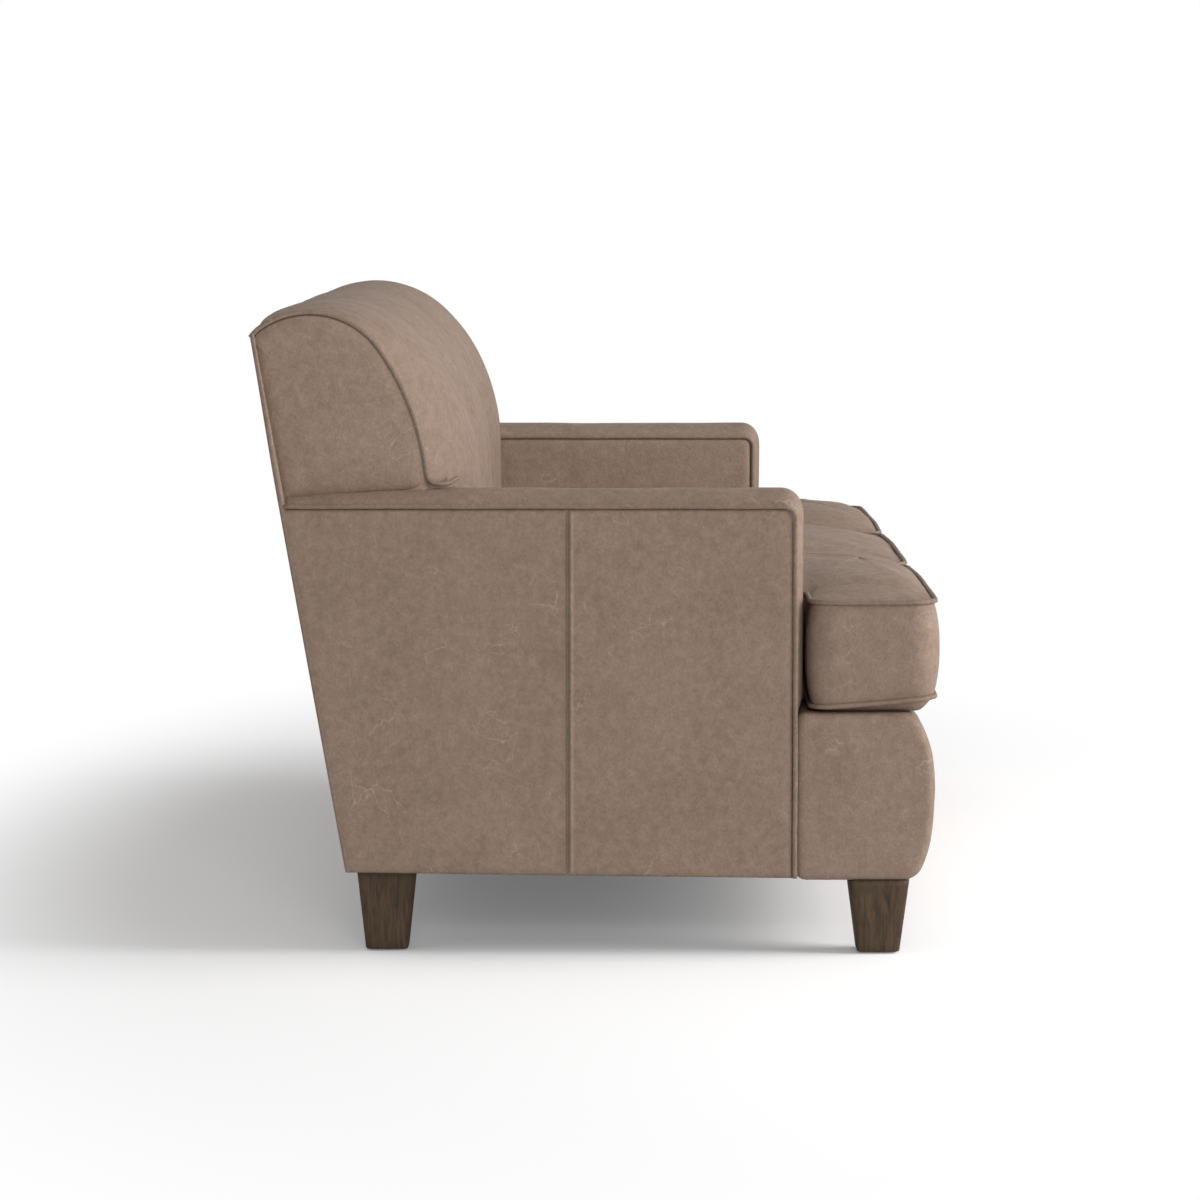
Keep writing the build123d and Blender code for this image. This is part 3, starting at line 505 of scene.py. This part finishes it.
def armBand():
    # the crown, carried over the top of the arm and down its front, pressed flat behind the border
    b = bandShape
    run = armRun(0, rearY(sofa["armTop"]) - b["rearGap"], b["low"], 80)
    y, z, outY, outZ = (a[:, None] for a in run)
    w = np.sin(np.linspace(-np.pi / 2, np.pi / 2, 41))[None, :]
    dome = b["frontDome"] + (b["topDome"] - b["frontDome"]) * outZ ** 2
    dome = dome * np.where(outZ < 0.01, smooth(b["pressedFrom"], b["pressedTo"], z), 1.0)
    x = -(b["middle"] + b["half"] * w) + 0 * y
    # short creases round the corner, strongest near the welts
    crease = b["crease"] * np.sin((z - y) / b["creaseStep"])
    crease = crease * np.exp(-((outZ - 0.6) / 0.35) ** 2) * np.abs(w) ** 3
    slack = b["slack"] * (ripple(y + z, x, 1.1) - 0.5) * np.minimum(dome / b["frontDome"], 1)
    height = bandHeight(w, dome) + (slack + crease) * (1 - np.abs(w) ** 6)
    face = np.stack([x, y + outY * height, z + outZ * height], -1)
    back = np.stack(np.broadcast_arrays(x, y - b["depth"] * outY, z - b["depth"] * outZ), -1)
    return shellBlocks(face, back)


armWelt = {
    "proud": 1.2, "outerLow": 110.0, "outerRearGap": 7.0,
    "sunk": 0.6, "innerLow": 317.0, "innerRear": 373.0, "wobble": 0.25,
}


def armWelts():
    # piping beside the band's two edges, each a tube along the arm's edge that wanders a little
    w, radius = armWelt, sofa["weltRadius"]
    outer = (sofa["halfWidth"] - radius + w["proud"], rearY(sofa["armTop"]) - w["outerRearGap"], w["outerLow"])
    inner = (sofa["armInner"] + radius - w["sunk"], w["innerRear"], w["innerLow"])
    blocks = []
    for x, rear, low in (outer, inner):
        y, z, outY, outZ = armRun(sofa["weltSeat"], rear, low, 90)
        wobble = w["wobble"] * np.sin((y - z) / 31)
        path = np.stack([np.full_like(y, -x), y + outY * wobble, z + outZ * wobble], -1)
        blocks.append(tubeBlock(path, radius, np.array([1.0, 0, 0])))
    return blocks


placePair("outsideArm", outsideArm(), leather, "outside_arm")
placePair("insideArm", insideArm(), leather, "inside_arm")
placePair("armBand", armBand(), leather, "arm_band")
placePair("armWelts", armWelts(), weltLeather, "arm_welts")
print("arms made")


# back: three crowned sections, two end panels with piping, and the outside back

backShape = {
    "face": 162.5, "crown": 70.0, "kneeLean": 5.5, "kneeZ": 640.0, "deckZ": 342.5,
    "shoulderDepth": 172.5, "shoulderDrop": 24.0, "crownShoulder": 43.0, "crownRise": 12.0,
    "topBack": 8.0, "topRise": 2.0, "crownTopBack": 12.0, "crownTop": 24.0, "cornerDrop": 10.0,
    "endRear": 992.0, "endFront": 952.0, "endMiddle": 972.0, "endReach": 303.0, "endSink": 2.5,
    "seamGap": 0.3, "seamShare": 0.5, "overArm": 632.0, "armStepFrom": 864.0, "armStepTo": 884.0,
    "groove": 10.0, "grooveWidth": 10.0, "pucker": 1.1, "slack": 1.2, "frameTop": 846.0,
}
cornerZ = 872.0
cornerY = innerRearY(cornerZ)
towardsSeam = [0.95, 0.962, 0.973, 0.982, 0.989, 0.995, 1.0]  # close rows where a section tucks in


def backCurve(share, lowZ):
    # side view of the back for an array of crown shares: a leaning line, an arc to the shoulder,
    # an arc over the top and a rounded drop to the rear corner; each arc leaves along the last tangent
    b = backShape
    share, lowZ = np.broadcast_arrays(np.atleast_1d(share).astype(float), np.atleast_1d(lowZ).astype(float))
    face = b["face"] + b["crown"] * (1 - share)
    slope = b["kneeLean"] / (b["kneeZ"] - b["deckZ"])
    foot = np.stack([face + slope * (lowZ - b["deckZ"]), lowZ], -1)
    knee = np.stack([face + b["kneeLean"], np.full_like(face, b["kneeZ"])], -1)
    shoulder = np.stack([
        cornerY - b["shoulderDepth"] - b["crownShoulder"] * share,
        cornerZ - b["shoulderDrop"] + b["crownRise"] * share], -1)
    top = np.stack([
        cornerY - b["topBack"] - b["crownTopBack"] * share,
        cornerZ + b["topRise"] + b["crownTop"] * share], -1)
    corner = np.stack([np.full_like(face, cornerY), np.full_like(face, cornerZ - b["cornerDrop"])], -1)
    pieces = [foot[:, None] + (knee - foot)[:, None] * np.linspace(0, 1, 24)[None, :-1, None]]
    tangent = np.stack([np.full_like(face, slope), np.ones_like(face)], -1)
    tangent /= np.linalg.norm(tangent, axis=1, keepdims=True)
    start = knee
    for end, count in ((shoulder, 40), (top, 26), (corner, 10)):
        normal = np.stack([tangent[:, 1], -tangent[:, 0]], -1)
        chord = end - start
        along, aside = (chord * tangent).sum(1), (chord * normal).sum(1)
        radius = (chord ** 2).sum(1) / (2 * aside)
        sweep = 2 * np.arctan2(aside, along)
        angle = (sweep[:, None] * np.linspace(0, 1, count)[None, :-1])[..., None]
        swing = np.sin(angle) * tangent[:, None] + (1 - np.cos(angle)) * normal[:, None]
        pieces.append(start[:, None] + radius[:, None, None] * swing)
        tangent = tangent * np.cos(sweep)[:, None] + normal * np.sin(sweep)[:, None]
        start = end
    pieces.append(corner[:, None])
    curve = np.concatenate(pieces, 1)
    run = np.gradient(curve, axis=1)
    run /= np.maximum(np.linalg.norm(run, axis=2, keepdims=True), 1e-9)
    outward = np.stack([-run[..., 1], run[..., 0]], -1)
    return curve, outward


def endX(y):
    # distance of the end of the back from the middle: it leans inwards towards the front
    b = backShape
    slope = (b["endRear"] - b["endFront"]) / (cornerY - b["face"] - b["crown"])
    return b["endRear"] - (cornerY - y) * slope


def crownShare(x):
    # part of the crown at distance x from the middle: full at the middle of each section
    x = np.abs(x)
    edge, left = sofa["seam"], backShape["seamShare"]
    outer = 1 - np.clip((x - 2 * edge) / backShape["endReach"], 0, 1) ** 5
    inner = 1 - left * np.clip((2 * edge - x) / edge, 0, 1) ** 2.5
    centre = 1 - left * np.clip(x / edge, 0, 1) ** 2.5
    return np.where(x > 2 * edge, outer, np.where(x > edge, inner, centre))


def gathered(sink, curve, x, seamGap, openGap, seed):
    # adds to the depth that leather sinks: short puckers beside the seam, an uneven swell elsewhere
    length = np.cumsum(np.linalg.norm(np.gradient(curve, axis=1), axis=2), 1)
    pucker = backShape["pucker"] * np.sin(length / 8.5 + 2 * np.sin(length / 41))
    sink = sink + pucker * np.exp(-seamGap / 28) * (1 - np.exp(-seamGap / 6))
    return sink - backShape["slack"] * (ripple(x, length, seed) - 0.3) * (1 - np.exp(-openGap / 60))


def sectionBlocks(x, curve, outward, sink):
    # crowned face moved in by sink, and its hidden rear side just ahead of the back frame
    moved = curve - outward * sink[..., None]
    face = np.stack([x, moved[..., 0], moved[..., 1]], -1)
    z = np.minimum(face[..., 2] - 10, backShape["frameTop"])
    y = np.minimum(np.maximum(frameFrontY(z), face[..., 1] + 4), cornerY - 2)
    return shellBlocks(face, np.stack([face[..., 0], y, z], -1))


def backSectionEnd():
    # crowned loft from the end panel to the seam, which it tucks into
    b = backShape
    seam = sofa["seam"] + b["seamGap"]
    e = np.concatenate([[0, 0.004, 0.01, 0.02, 0.035], np.linspace(0.055, 0.93, 46), towardsSeam])
    nominal = (1 - e) * b["endMiddle"] + e * seam
    lowZ = b["deckZ"] + (b["overArm"] - b["deckZ"]) * smooth(b["armStepFrom"], b["armStepTo"], nominal)
    curve, outward = backCurve(np.where(e > 0, crownShare(nominal), 0), lowZ)
    end = endX(curve[0, :, 0])[None, :]
    x = (1 - e)[:, None] * end + e[:, None] * seam
    seamGap, endGap = x - seam, end - x
    sink = b["groove"] * np.exp(-seamGap / b["grooveWidth"]) + b["endSink"] * np.exp(-endGap / 5)
    sink = gathered(sink, curve, x, seamGap, np.minimum(seamGap, endGap), 3.1)
    return sectionBlocks(-x, curve, outward, sink)


def backSectionMiddle():
    # crowned loft from seam to seam, the same on both sides of the middle
    b = backShape
    half = np.concatenate([np.linspace(0, 0.93, 30), towardsSeam])
    x = (np.concatenate([-half[:0:-1], half]) * (sofa["seam"] - b["seamGap"]))[:, None]
    curve, outward = backCurve(crownShare(x[:, 0]), b["deckZ"])
    gap = sofa["seam"] - b["seamGap"] - np.abs(x)
    sink = gathered(b["groove"] * np.exp(-gap / b["grooveWidth"]), curve, x, gap, gap, 5.2)
    return sectionBlocks(np.repeat(x, curve.shape[1], 1), curve, outward, sink)


endPanel = {
    "centre": (365.0, 745.0), "low": 639.0, "rearLow": 635.0, "topDrop": 13.0,
    "puff": 2.5, "edge": 4.2, "slack": 0.8, "depth": 8.0,
}


def overBand(y):
    # height of the arm's padded band under the end of the back
    across = (endX(y) - bandShape["middle"]) / bandShape["half"]
    return sofa["armTop"] + bandHeight(across, bandShape["topDome"]) + 0.6


def backEnd():
    # fan from a middle point to the outline of the back's end, slightly puffed, its edge rolled in
    p = endPanel
    curve, outward = backCurve(0.0, p["low"])
    curve = curve[:, curve[0, :, 1] > overBand(curve[0, 0, 0])]
    low = overBand(innerRearY(p["rearLow"]))
    rearZ = np.linspace(cornerZ - p["topDrop"], low, 60)
    underY = np.linspace(innerRearY(low), curve[0, 0, 0], 62)[1:-1]
    rear = np.stack([innerRearY(rearZ), rearZ], -1)
    under = np.stack([underY, overBand(underY)], -1)
    rim = np.concatenate([curve[0], rear, under])
    centre = np.array(p["centre"])
    r = np.concatenate([np.linspace(0, 0.92, 26), [0.945, 0.965, 0.98, 0.991, 1.0]])[:, None]
    flat = centre + (rim - centre) * r[..., None]
    y, z = flat[..., 0], flat[..., 1]
    gap = (1 - r) * np.linalg.norm(rim - centre, axis=1)
    slack = p["slack"] * ripple(y, z, 4.4) * (1 - np.exp(-gap / 40))
    puff = p["puff"] * (1 - r ** 3) - p["edge"] * np.exp(-gap / 6) + slack
    outer = np.stack([-(endX(y) + puff), y, z], -1)
    inner = np.stack([-(endX(y) - p["depth"]), y, z], -1)
    inner[-1] = outer[-1]
    faces = gridFaces(len(outer), len(rim), False, True)
    return [(outer, faces), (inner, faces)]


endWelt = {
    "low": 636.0, "riseFrom": 662.0, "sunk": 3.0,
    "footIn": 922.0, "footOut": 948.0, "footZ": 658.0, "footRise": 9.0, "ahead": 2.5,
}


def backEndWelt():
    # piping from the inside of the arm, out along its top, then up and over the end of the back
    w = endWelt
    curve, outward = backCurve(0.0, w["low"])
    line = curve[0] + outward[0] * sofa["weltSeat"]
    line = line[:-2][line[:-2, 1] > w["riseFrom"]]
    rise = np.stack([-(endX(line[:, 0]) - w["sunk"]), line[:, 0], line[:, 1]], -1)
    x = np.linspace(w["footIn"], w["footOut"], 24)
    level = w["footZ"] + w["footRise"] * (w["footOut"] - x) / (w["footOut"] - w["footIn"])
    ahead = backShape["face"] + backShape["crown"] * (1 - crownShare(x)) + backShape["kneeLean"] - w["ahead"]
    foot = np.stack([-x, ahead, level], -1)
    path = eased(evenly(np.concatenate([foot, rise]), 4.0), 6)
    return [tubeBlock(path, sofa["weltRadius"], np.array([1.0, 1.0, 0.5]))]


rearPanel = {"roll": 4.5, "rollWidth": 7.0, "hollow": 1.5, "lean": 3.0, "leanFrom": 640.0, "depth": 9.0}


def outsideBack():
    # raked panel, drawn slightly hollow between its edges, which roll forwards
    p = rearPanel
    low, high = boxOf("outside_back")
    across = [[0, 0.001, 0.003, 0.006], np.linspace(0.012, 0.988, 90), [0.994, 0.997, 0.999, 1.0]]
    upward = [[0, 0.003, 0.007, 0.014], np.linspace(0.03, 0.97, 46), [0.986, 0.993, 0.997, 1.0]]
    u, v = np.concatenate(across)[None, :], np.concatenate(upward)[:, None]
    x = low[0] + (high[0] - low[0]) * u + 0 * v
    z = low[2] + (high[2] - low[2]) * v + 0 * u
    gap = np.minimum.reduce([x - low[0], high[0] - x, z - low[2], high[2] - z])
    hollow = p["hollow"] * (0.5 + ripple(x, z, 6.1)) * smooth(0, 90, gap)
    lean = p["lean"] * smooth(p["leanFrom"], sofa["backEdge"], z)
    y = rearY(z) - rolledIn(gap, p["roll"], p["rollWidth"]) - hollow - lean
    rear = np.stack([x, y, z], -1)
    ahead = np.stack([x, rearY(z) - p["depth"], z], -1)
    return shellBlocks(rear, ahead)


placePair("backSection", backSectionEnd(), leather, "back_section")
middleMesh = meshFrom("backSectionMiddle", backSectionMiddle())
placePiece("backSectionMiddle", middleMesh, "frame", leather, ["back_section_middle"])
placePair("backEnd", backEnd(), leather, "back_end")
placePair("backEndWelt", backEndWelt(), weltLeather, "back_end_welt")
rearMesh = meshFrom("outsideBack", outsideBack())
placePiece("outsideBack", rearMesh, "frame", leather, ["outside_back"])
print("back made")


# front border: a bowed padded box under the cushions, and the cloth platform behind it

borderShape = {
    "rearY": -279.5, "corner": 16.0, "edge": 13.0, "bow": 27.0, "puff": 2.0,
    "bowFade": 70.0, "slack": 1.6, "slackFrom": -330.0, "slackTo": -440.0, "rows": 70,
}
deckShape = {"edge": 6.0, "rows": 60}
outlineStep = 4.0  # mm between points of these outlines


def roundedLoop(corners, radii, step):
    # outline with right-angled corners, each replaced by a quarter circle
    corners = np.array(corners, float)
    parts = []
    for i, (corner, radius) in enumerate(zip(corners, radii)):
        before = corners[i - 1] - corner
        after = corners[(i + 1) % len(corners)] - corner
        u, v = before / np.linalg.norm(before), after / np.linalg.norm(after)
        turn = np.linspace(0, np.pi / 2, max(5, int(radius * 1.57 / step) + 2))[:, None]
        parts.append(corner + radius * (u + v) - radius * (v * np.cos(turn) + u * np.sin(turn)))
    loop = np.concatenate(parts)
    return evenly(np.concatenate([loop, loop[:1]]), step)[:-1]


def loopNormals(loop):
    # outward normals of a closed outline that runs anticlockwise
    run = np.roll(loop, -1, 0) - np.roll(loop, 1, 0)
    run /= np.linalg.norm(run, axis=1, keepdims=True)
    return np.stack([run[:, 1], -run[:, 0]], -1)


def prismBlocks(section, halfLength, edge, puff, count):
    # a side-view outline carried along the sofa, its two ends rounded over and slightly puffed
    normal, around = loopNormals(section), len(section)
    turn = np.linspace(0, np.pi / 2, 7)
    r = np.concatenate([np.linspace(0, 0.9, 12), [0.96]])
    centre = section.mean(0)
    inner = section - normal * edge
    capFlat = centre + (inner - centre)[None] * r[:, None, None]
    capX = halfLength + puff * (1 - r ** 2)
    roundFlat = section[None] - normal[None] * (edge * (1 - np.sin(turn)))[:, None, None]
    roundX = halfLength - edge * (1 - np.cos(turn))
    bodyFlat = np.repeat(section[None], count - 2, 0)
    bodyX = np.linspace(halfLength - edge, -halfLength + edge, count)[1:-1]
    flat = np.concatenate([capFlat, roundFlat, bodyFlat, roundFlat[::-1], capFlat[::-1]])
    x = np.concatenate([capX, roundX, bodyX, -roundX[::-1], -capX[::-1]])
    points = np.concatenate([np.repeat(-x[:, None, None], around, 1), flat], -1)
    return points, gridFaces(len(points), around, False, True)


def frontBorder():
    # rounded box whose front face bows out in a smooth arc from its upper to its lower edge
    b = borderShape
    low, high = boxOf("front_border")
    front = low[1] + b["bow"]
    corners = [(front, low[2]), (b["rearY"], low[2]), (b["rearY"], high[2]), (front, high[2])]
    loop = roundedLoop(corners, [b["corner"]] * 4, outlineStep)
    middle, half = (low[2] + high[2]) / 2, (high[2] - low[2]) / 2
    bow = b["bow"] * (1 - np.clip(np.abs(loop[:, 1] - middle) / half, 0, 1) ** 2.8)
    loop[:, 0] -= bow * smooth(front + b["bowFade"], front + 2, loop[:, 0])
    points, faces = prismBlocks(loop, high[0] - b["puff"], b["edge"], b["puff"], b["rows"])
    swell = b["slack"] * ripple(points[..., 0], points[..., 2] * 1.3, 2.9)
    swell = swell * smooth(b["slackFrom"], b["slackTo"], points[..., 1])
    points[..., 1] += np.maximum(swell, -0.5)
    return [(points, faces)]


def seatDeck():
    # thin padded platform with soft edges, level under the cushions
    d = deckShape
    low, high = boxOf("seat_deck")
    corners = [(low[1], low[2]), (high[1], low[2]), (high[1], high[2]), (low[1], high[2])]
    loop = roundedLoop(corners, [d["edge"]] * 4, outlineStep)
    return [prismBlocks(loop, high[0], d["edge"], 0.0, d["rows"])]


borderMesh, deckMesh = meshFrom("frontBorder", frontBorder()), meshFrom("seatDeck", seatDeck())
placePiece("frontBorder", borderMesh, "frame", leather, ["front_border"])
placePiece("seatDeck", deckMesh, "frame", deckCloth, ["seat_deck"])
print("border and deck made")


# loose seat cushions with a welt round their upper and lower seams

cushionShape = {
    "topSeam": 497.0, "seamWave": 0.8, "lowSeam": 350.0, "under": 342.6, "underInset": 24.0,
    "noseFrom": -300.0, "noseRun": 174.0, "noseRise": 14.0, "frontBow": 4.0, "bowFrom": -330.0,
    "crown": 40.0, "reach": 95.0, "bulge": 8.5, "corner": 30.0, "notch": 16.0, "step": 9.0,
    "pucker": 1.0, "slack": 1.6, "tuck": 2.2, "sidePucker": 0.7, "weltOut": 2.2, "weltLift": 0.4,
}
seatFront, seatRear, earRear = -474.5, 149.0, -303.5
cushionPlans = {
    "middle": {"boxes": [(-324.8, 324.8, seatFront, seatRear)], "centre": (0.0, -165.0)},
    "left": {
        "boxes": [(-852.5, -343.8, seatFront, seatRear), (-993.0, -343.8, seatFront, earRear)],
        "centre": (-600.0, -388.0)},
}


def planLoop(plan):
    # outline seen from above: one box, or a box and the ear that goes round the front of the arm
    boxes, c = plan["boxes"], cushionShape
    if len(boxes) == 1:
        x0, x1, y0, y1 = boxes[0]
        corners, radii = [(x0, y0), (x1, y0), (x1, y1), (x0, y1)], [c["corner"]] * 4
    else:
        (x0, x1, y0, y1), (e0, _, _, e1) = boxes
        corners = [(e0, y0), (x1, y0), (x1, y1), (x0, y1), (x0, e1), (e0, e1)]
        radii = [c["corner"]] * 4 + [c["notch"], c["corner"]]
    loop = roundedLoop(corners, radii, c["step"])
    return loop, loopNormals(loop), np.cumsum(np.linalg.norm(loop - np.roll(loop, 1, 0), axis=1))


def crownOver(plan, x, y):
    # filled top: each edge lets the filling rise as 1 - exp(-distance / reach), and the edges multiply;
    # the two arms of an end cushion join as one minus the product of what each leaves
    left = np.ones_like(x)
    for x0, x1, y0, y1 in plan["boxes"]:
        gaps = (x - x0, x1 - x, y - y0, y1 - y)
        rise = [1 - np.exp(-np.maximum(gap, 0) / cushionShape["reach"]) for gap in gaps]
        left = left * (1 - np.prod(rise, axis=0))
    return 1 - left


def bowed(plan, points):
    # front edge slightly convex in plan
    c, (x0, x1) = cushionShape, plan["boxes"][-1][:2]
    swing = 1 - ((points[..., 0] - (x0 + x1) / 2) / ((x1 - x0) / 2)) ** 2
    points[..., 1] -= c["frontBow"] * np.clip(swing, 0, 1) * smooth(c["bowFrom"], seatFront, points[..., 1])
    return points


def lowSeamZ(y):
    # the lower seam rises towards the nose of the cushion
    c = cushionShape
    return c["lowSeam"] + c["noseRise"] * np.clip((c["noseFrom"] - y) / c["noseRun"], 0, 1) ** 1.3


def topSeamZ(run):
    # the upper seam waves a little along its run
    return cushionShape["topSeam"] + cushionShape["seamWave"] * np.sin(run / 57)


def seatCushion(plan):
    # rows from the middle of the crown to the upper seam, down the swollen boxing to the lower seam,
    # and in under the cushion
    c = cushionShape
    loop, normal, run = planLoop(plan)
    centre = np.array(plan["centre"])
    r = np.concatenate([np.linspace(0, 0.93, 40), [0.948, 0.963, 0.975, 0.985, 0.993, 1.0]])[:, None]
    flat = centre + (loop - centre)[None] * r[..., None]
    rise = crownOver(plan, flat[..., 0], flat[..., 1])
    rise = rise / rise.max() * (1 - r ** 30)
    gap = (1 - r) * np.linalg.norm(loop - centre, axis=1)[None]
    pucker = c["pucker"] * np.sin(run / 6.6 + 2 * np.sin(run / 47))[None]
    gather = pucker * np.exp(-gap / 24) * (1 - np.exp(-gap / 5))
    loose = c["slack"] * (ripple(flat[..., 0], flat[..., 1], 1.9) - 0.4) * np.minimum(gap / 60, 1)
    topZ = topSeamZ(run)[None] + c["crown"] * rise ** 0.85 + gather + loose - c["tuck"] * np.exp(-gap / 3.5)
    top = np.concatenate([flat, topZ[..., None]], -1)
    # boxing: t runs from the upper seam to the lower one
    t = np.concatenate([[0.015, 0.04, 0.08], np.linspace(0.14, 0.86, 13), [0.92, 0.96, 0.985, 1.0]])[:, None]
    low = lowSeamZ(loop[:, 1])[None]
    besideSeams = (np.exp(-t * 14) + np.exp(-(1 - t) * 14)) * (t * (1 - t) * 4)
    swell = c["bulge"] * (1 - np.abs(2 * t - 1) ** 2.4)
    swell = swell + c["sidePucker"] * np.sin(run / 7.3 + 1.5 * np.sin(run / 53))[None] * besideSeams
    sideFlat = loop[None] + normal[None] * swell[..., None]
    sideZ = topSeamZ(run)[None] * (1 - t) + low * t - 2.0 * (1 - t) ** 12
    sides = np.concatenate([sideFlat, sideZ[..., None]], -1)
    # underside: a quarter round in from the lower seam, then flat to the middle
    s = np.linspace(0, 1, 9)[1:, None]
    drop = np.sin(s * np.pi / 2)
    underFlat = loop[None] - normal[None] * (c["underInset"] * s)[..., None]
    underZ = low * (1 - drop) + c["under"] * drop
    under = np.concatenate([underFlat, underZ[..., None]], -1)
    inward = np.linspace(1, 0, 8)[1:][:, None, None]
    baseFlat = centre + (underFlat[-1] - centre)[None] * inward
    base = np.concatenate([baseFlat, np.full(baseFlat.shape[:2] + (1,), c["under"])], -1)
    points = bowed(plan, np.concatenate([top, sides, under, base]))
    return [(points, gridFaces(len(points), len(loop), False, True))]


def cushionWelts(plan):
    # two closed cords that lie in the upper and the lower seam
    c = cushionShape
    loop, normal, run = planLoop(plan)
    out = loop + normal * c["weltOut"]
    upper = bowed(plan, np.concatenate([out, topSeamZ(run)[:, None] + c["weltLift"]], -1))
    lower = bowed(plan, np.concatenate([out, lowSeamZ(loop[:, 1])[:, None] - c["weltLift"]], -1))
    return [tubeBlock(path, sofa["weltRadius"], np.array([0, 0, 1.0]), True) for path in (upper, lower)]


for side in ("left", "middle", "right"):
    plan = cushionPlans["middle" if side == "middle" else "left"]
    body, label = "cushion_" + side, side.title()
    blocks, cords = seatCushion(plan), cushionWelts(plan)
    if side == "right":
        blocks, cords = mirrored(blocks), mirrored(cords)
    filled = ["seat_cover_" + side, "seat_core_" + side]
    pad, piping = meshFrom("seatCushion" + label, blocks), meshFrom("seatWelts" + label, cords)
    placePiece("seatCushion" + label, pad, body, leather, filled, 1)
    placePiece("seatWelts" + label, piping, body, weltLeather, ["seat_welts_" + side])
print("cushions made")


# CAD nodes that stay: the wooden frame, springs, fasteners, webbing, dust cover, glides and zips

finishes = {
    "frame_wood": poplar, "spring_steel": wire, "steel": zinc, "webbing": strap, "dust_cloth": dustCloth,
    "glide": nylon, "zip": zipTape,
}
slotOf = {part["node"]: part["material_slot"] for part in frame["record"]["subparts"]}
for node, item in nodes.items():
    if not item.hide_render:
        item.data.materials.clear()
        item.data.materials.append(finishes[slotOf[node]])
print("frame nodes finished")


# floor, light and camera

floorShape = {"half": 40.0, "oval": (0.35, 0.9, 1.0), "fadeFrom": 0.6, "fadeTo": 1.15, "glow": 0.12}


def studioFloor():
    # white sweep: plain diffuse white that a camera sees a little brighter, and pure white far from the sofa
    material = bpy.data.materials.new("white studio floor")
    material.use_nodes = True
    tree = material.node_tree
    tree.nodes.clear()
    ray = addNode(tree, "ShaderNodeLightPath")
    place = addNode(tree, "ShaderNodeTexCoord").outputs["Object"]
    oval = addNode(tree, "ShaderNodeMapping", {"Scale": floorShape["oval"]}, {"Vector": place})
    away = addNode(tree, "ShaderNodeVectorMath", {"operation": "LENGTH"}, {0: oval.outputs[0]})
    far = addNode(tree, "ShaderNodeMapRange",
        {"interpolation_type": "SMOOTHSTEP", "From Min": floorShape["fadeFrom"],
        "From Max": floorShape["fadeTo"]}, {"Value": away.outputs["Value"]})
    fade = addNode(tree, "ShaderNodeMath", {"operation": "MULTIPLY"},
        {0: far.outputs[0], 1: ray.outputs["Is Camera Ray"]})
    glow = addNode(tree, "ShaderNodeMath", {"operation": "MULTIPLY", 1: floorShape["glow"]},
        {0: ray.outputs["Is Camera Ray"]})
    diffuse = addNode(tree, "ShaderNodeBsdfDiffuse", {"Color": hexColour("#f2f2f2")})
    emission = addNode(tree, "ShaderNodeEmission", links={"Strength": glow.outputs[0]})
    near = addNode(tree, "ShaderNodeAddShader", links={0: diffuse.outputs[0], 1: emission.outputs[0]})
    white = addNode(tree, "ShaderNodeEmission")
    both = addNode(tree, "ShaderNodeMixShader",
        links={0: fade.outputs[0], 1: near.outputs[0], 2: white.outputs[0]})
    addNode(tree, "ShaderNodeOutputMaterial", links={"Surface": both.outputs[0]})
    half = floorShape["half"]
    mesh = bpy.data.meshes.new("studioFloor")
    mesh.from_pydata([(-half, -half, 0), (half, -half, 0), (half, half, 0), (-half, half, 0)], [],
        [(0, 1, 2, 3)])
    mesh.materials.append(material)
    floor = bpy.data.objects.new("studioFloor", mesh)
    bpy.context.scene.collection.objects.link(floor)


def softLamp(name, watts, place, aim, size):
    # square area lamp that points at aim and isn't seen itself
    lamp = bpy.data.lights.new(name, "AREA")
    lamp.shape = "SQUARE"
    lamp.size = size
    lamp.energy = watts
    item = bpy.data.objects.new(name, lamp)
    item.location = place
    item.rotation_euler = (Vector(aim) - Vector(place)).to_track_quat("-Z", "Y").to_euler()
    item.visible_camera = False
    bpy.context.scene.collection.objects.link(item)


studio = {
    "sky": 0.47,
    "key": (300, (-1.1, -6.5, 3.8), (0, 0, 0.45), 4.5),  # watts, place, aim, size
    "fill": (1500, (-20, -1.5, 5.2), (0, 0, 0.45), 7.0),
    "bounce": (85, (-1.2, -3.5, 1.3), (0.6, 0, 0.5), 1.6),
}
studioFloor()
for lampName in ("key", "fill", "bounce"):
    softLamp(lampName + "Lamp", *studio[lampName])

world = bpy.data.worlds.new("studio")
bpy.context.scene.world = world
world.use_nodes = True
sky = world.node_tree
sky.nodes.clear()
ray = addNode(sky, "ShaderNodeLightPath")
seen = addNode(sky, "ShaderNodeMath", {"operation": "MAXIMUM"},
    {0: ray.outputs["Is Camera Ray"], 1: ray.outputs["Is Glossy Ray"]})
clear = addNode(sky, "ShaderNodeMath", {"operation": "MAXIMUM"},
    {0: seen.outputs[0], 1: ray.outputs["Is Transmission Ray"]})
level = addNode(sky, "ShaderNodeMapRange", {"To Min": studio["sky"], "To Max": 1.0},
    {"Value": clear.outputs[0]})
backdrop = addNode(sky, "ShaderNodeBackground", {"Color": (1, 1, 1, 1)}, {"Strength": level.outputs[0]})
addNode(sky, "ShaderNodeOutputWorld", links={"Surface": backdrop.outputs[0]})

view = {"lens": 142.7, "place": (-7.6066, -0.0068, 1.0723), "pitch": 4.939}
camera = bpy.data.cameras.new("camera")
camera.lens = view["lens"]
camera.sensor_width = 36
camera.clip_end = 200
eye = bpy.data.objects.new("camera", camera)
eye.location = view["place"]
eye.rotation_euler = (math.radians(90 - view["pitch"]), 0, math.radians(-90))
bpy.context.scene.collection.objects.link(eye)
bpy.context.scene.camera = eye
bpy.context.scene.view_settings.view_transform = "Standard"
print("stage, light and camera set")
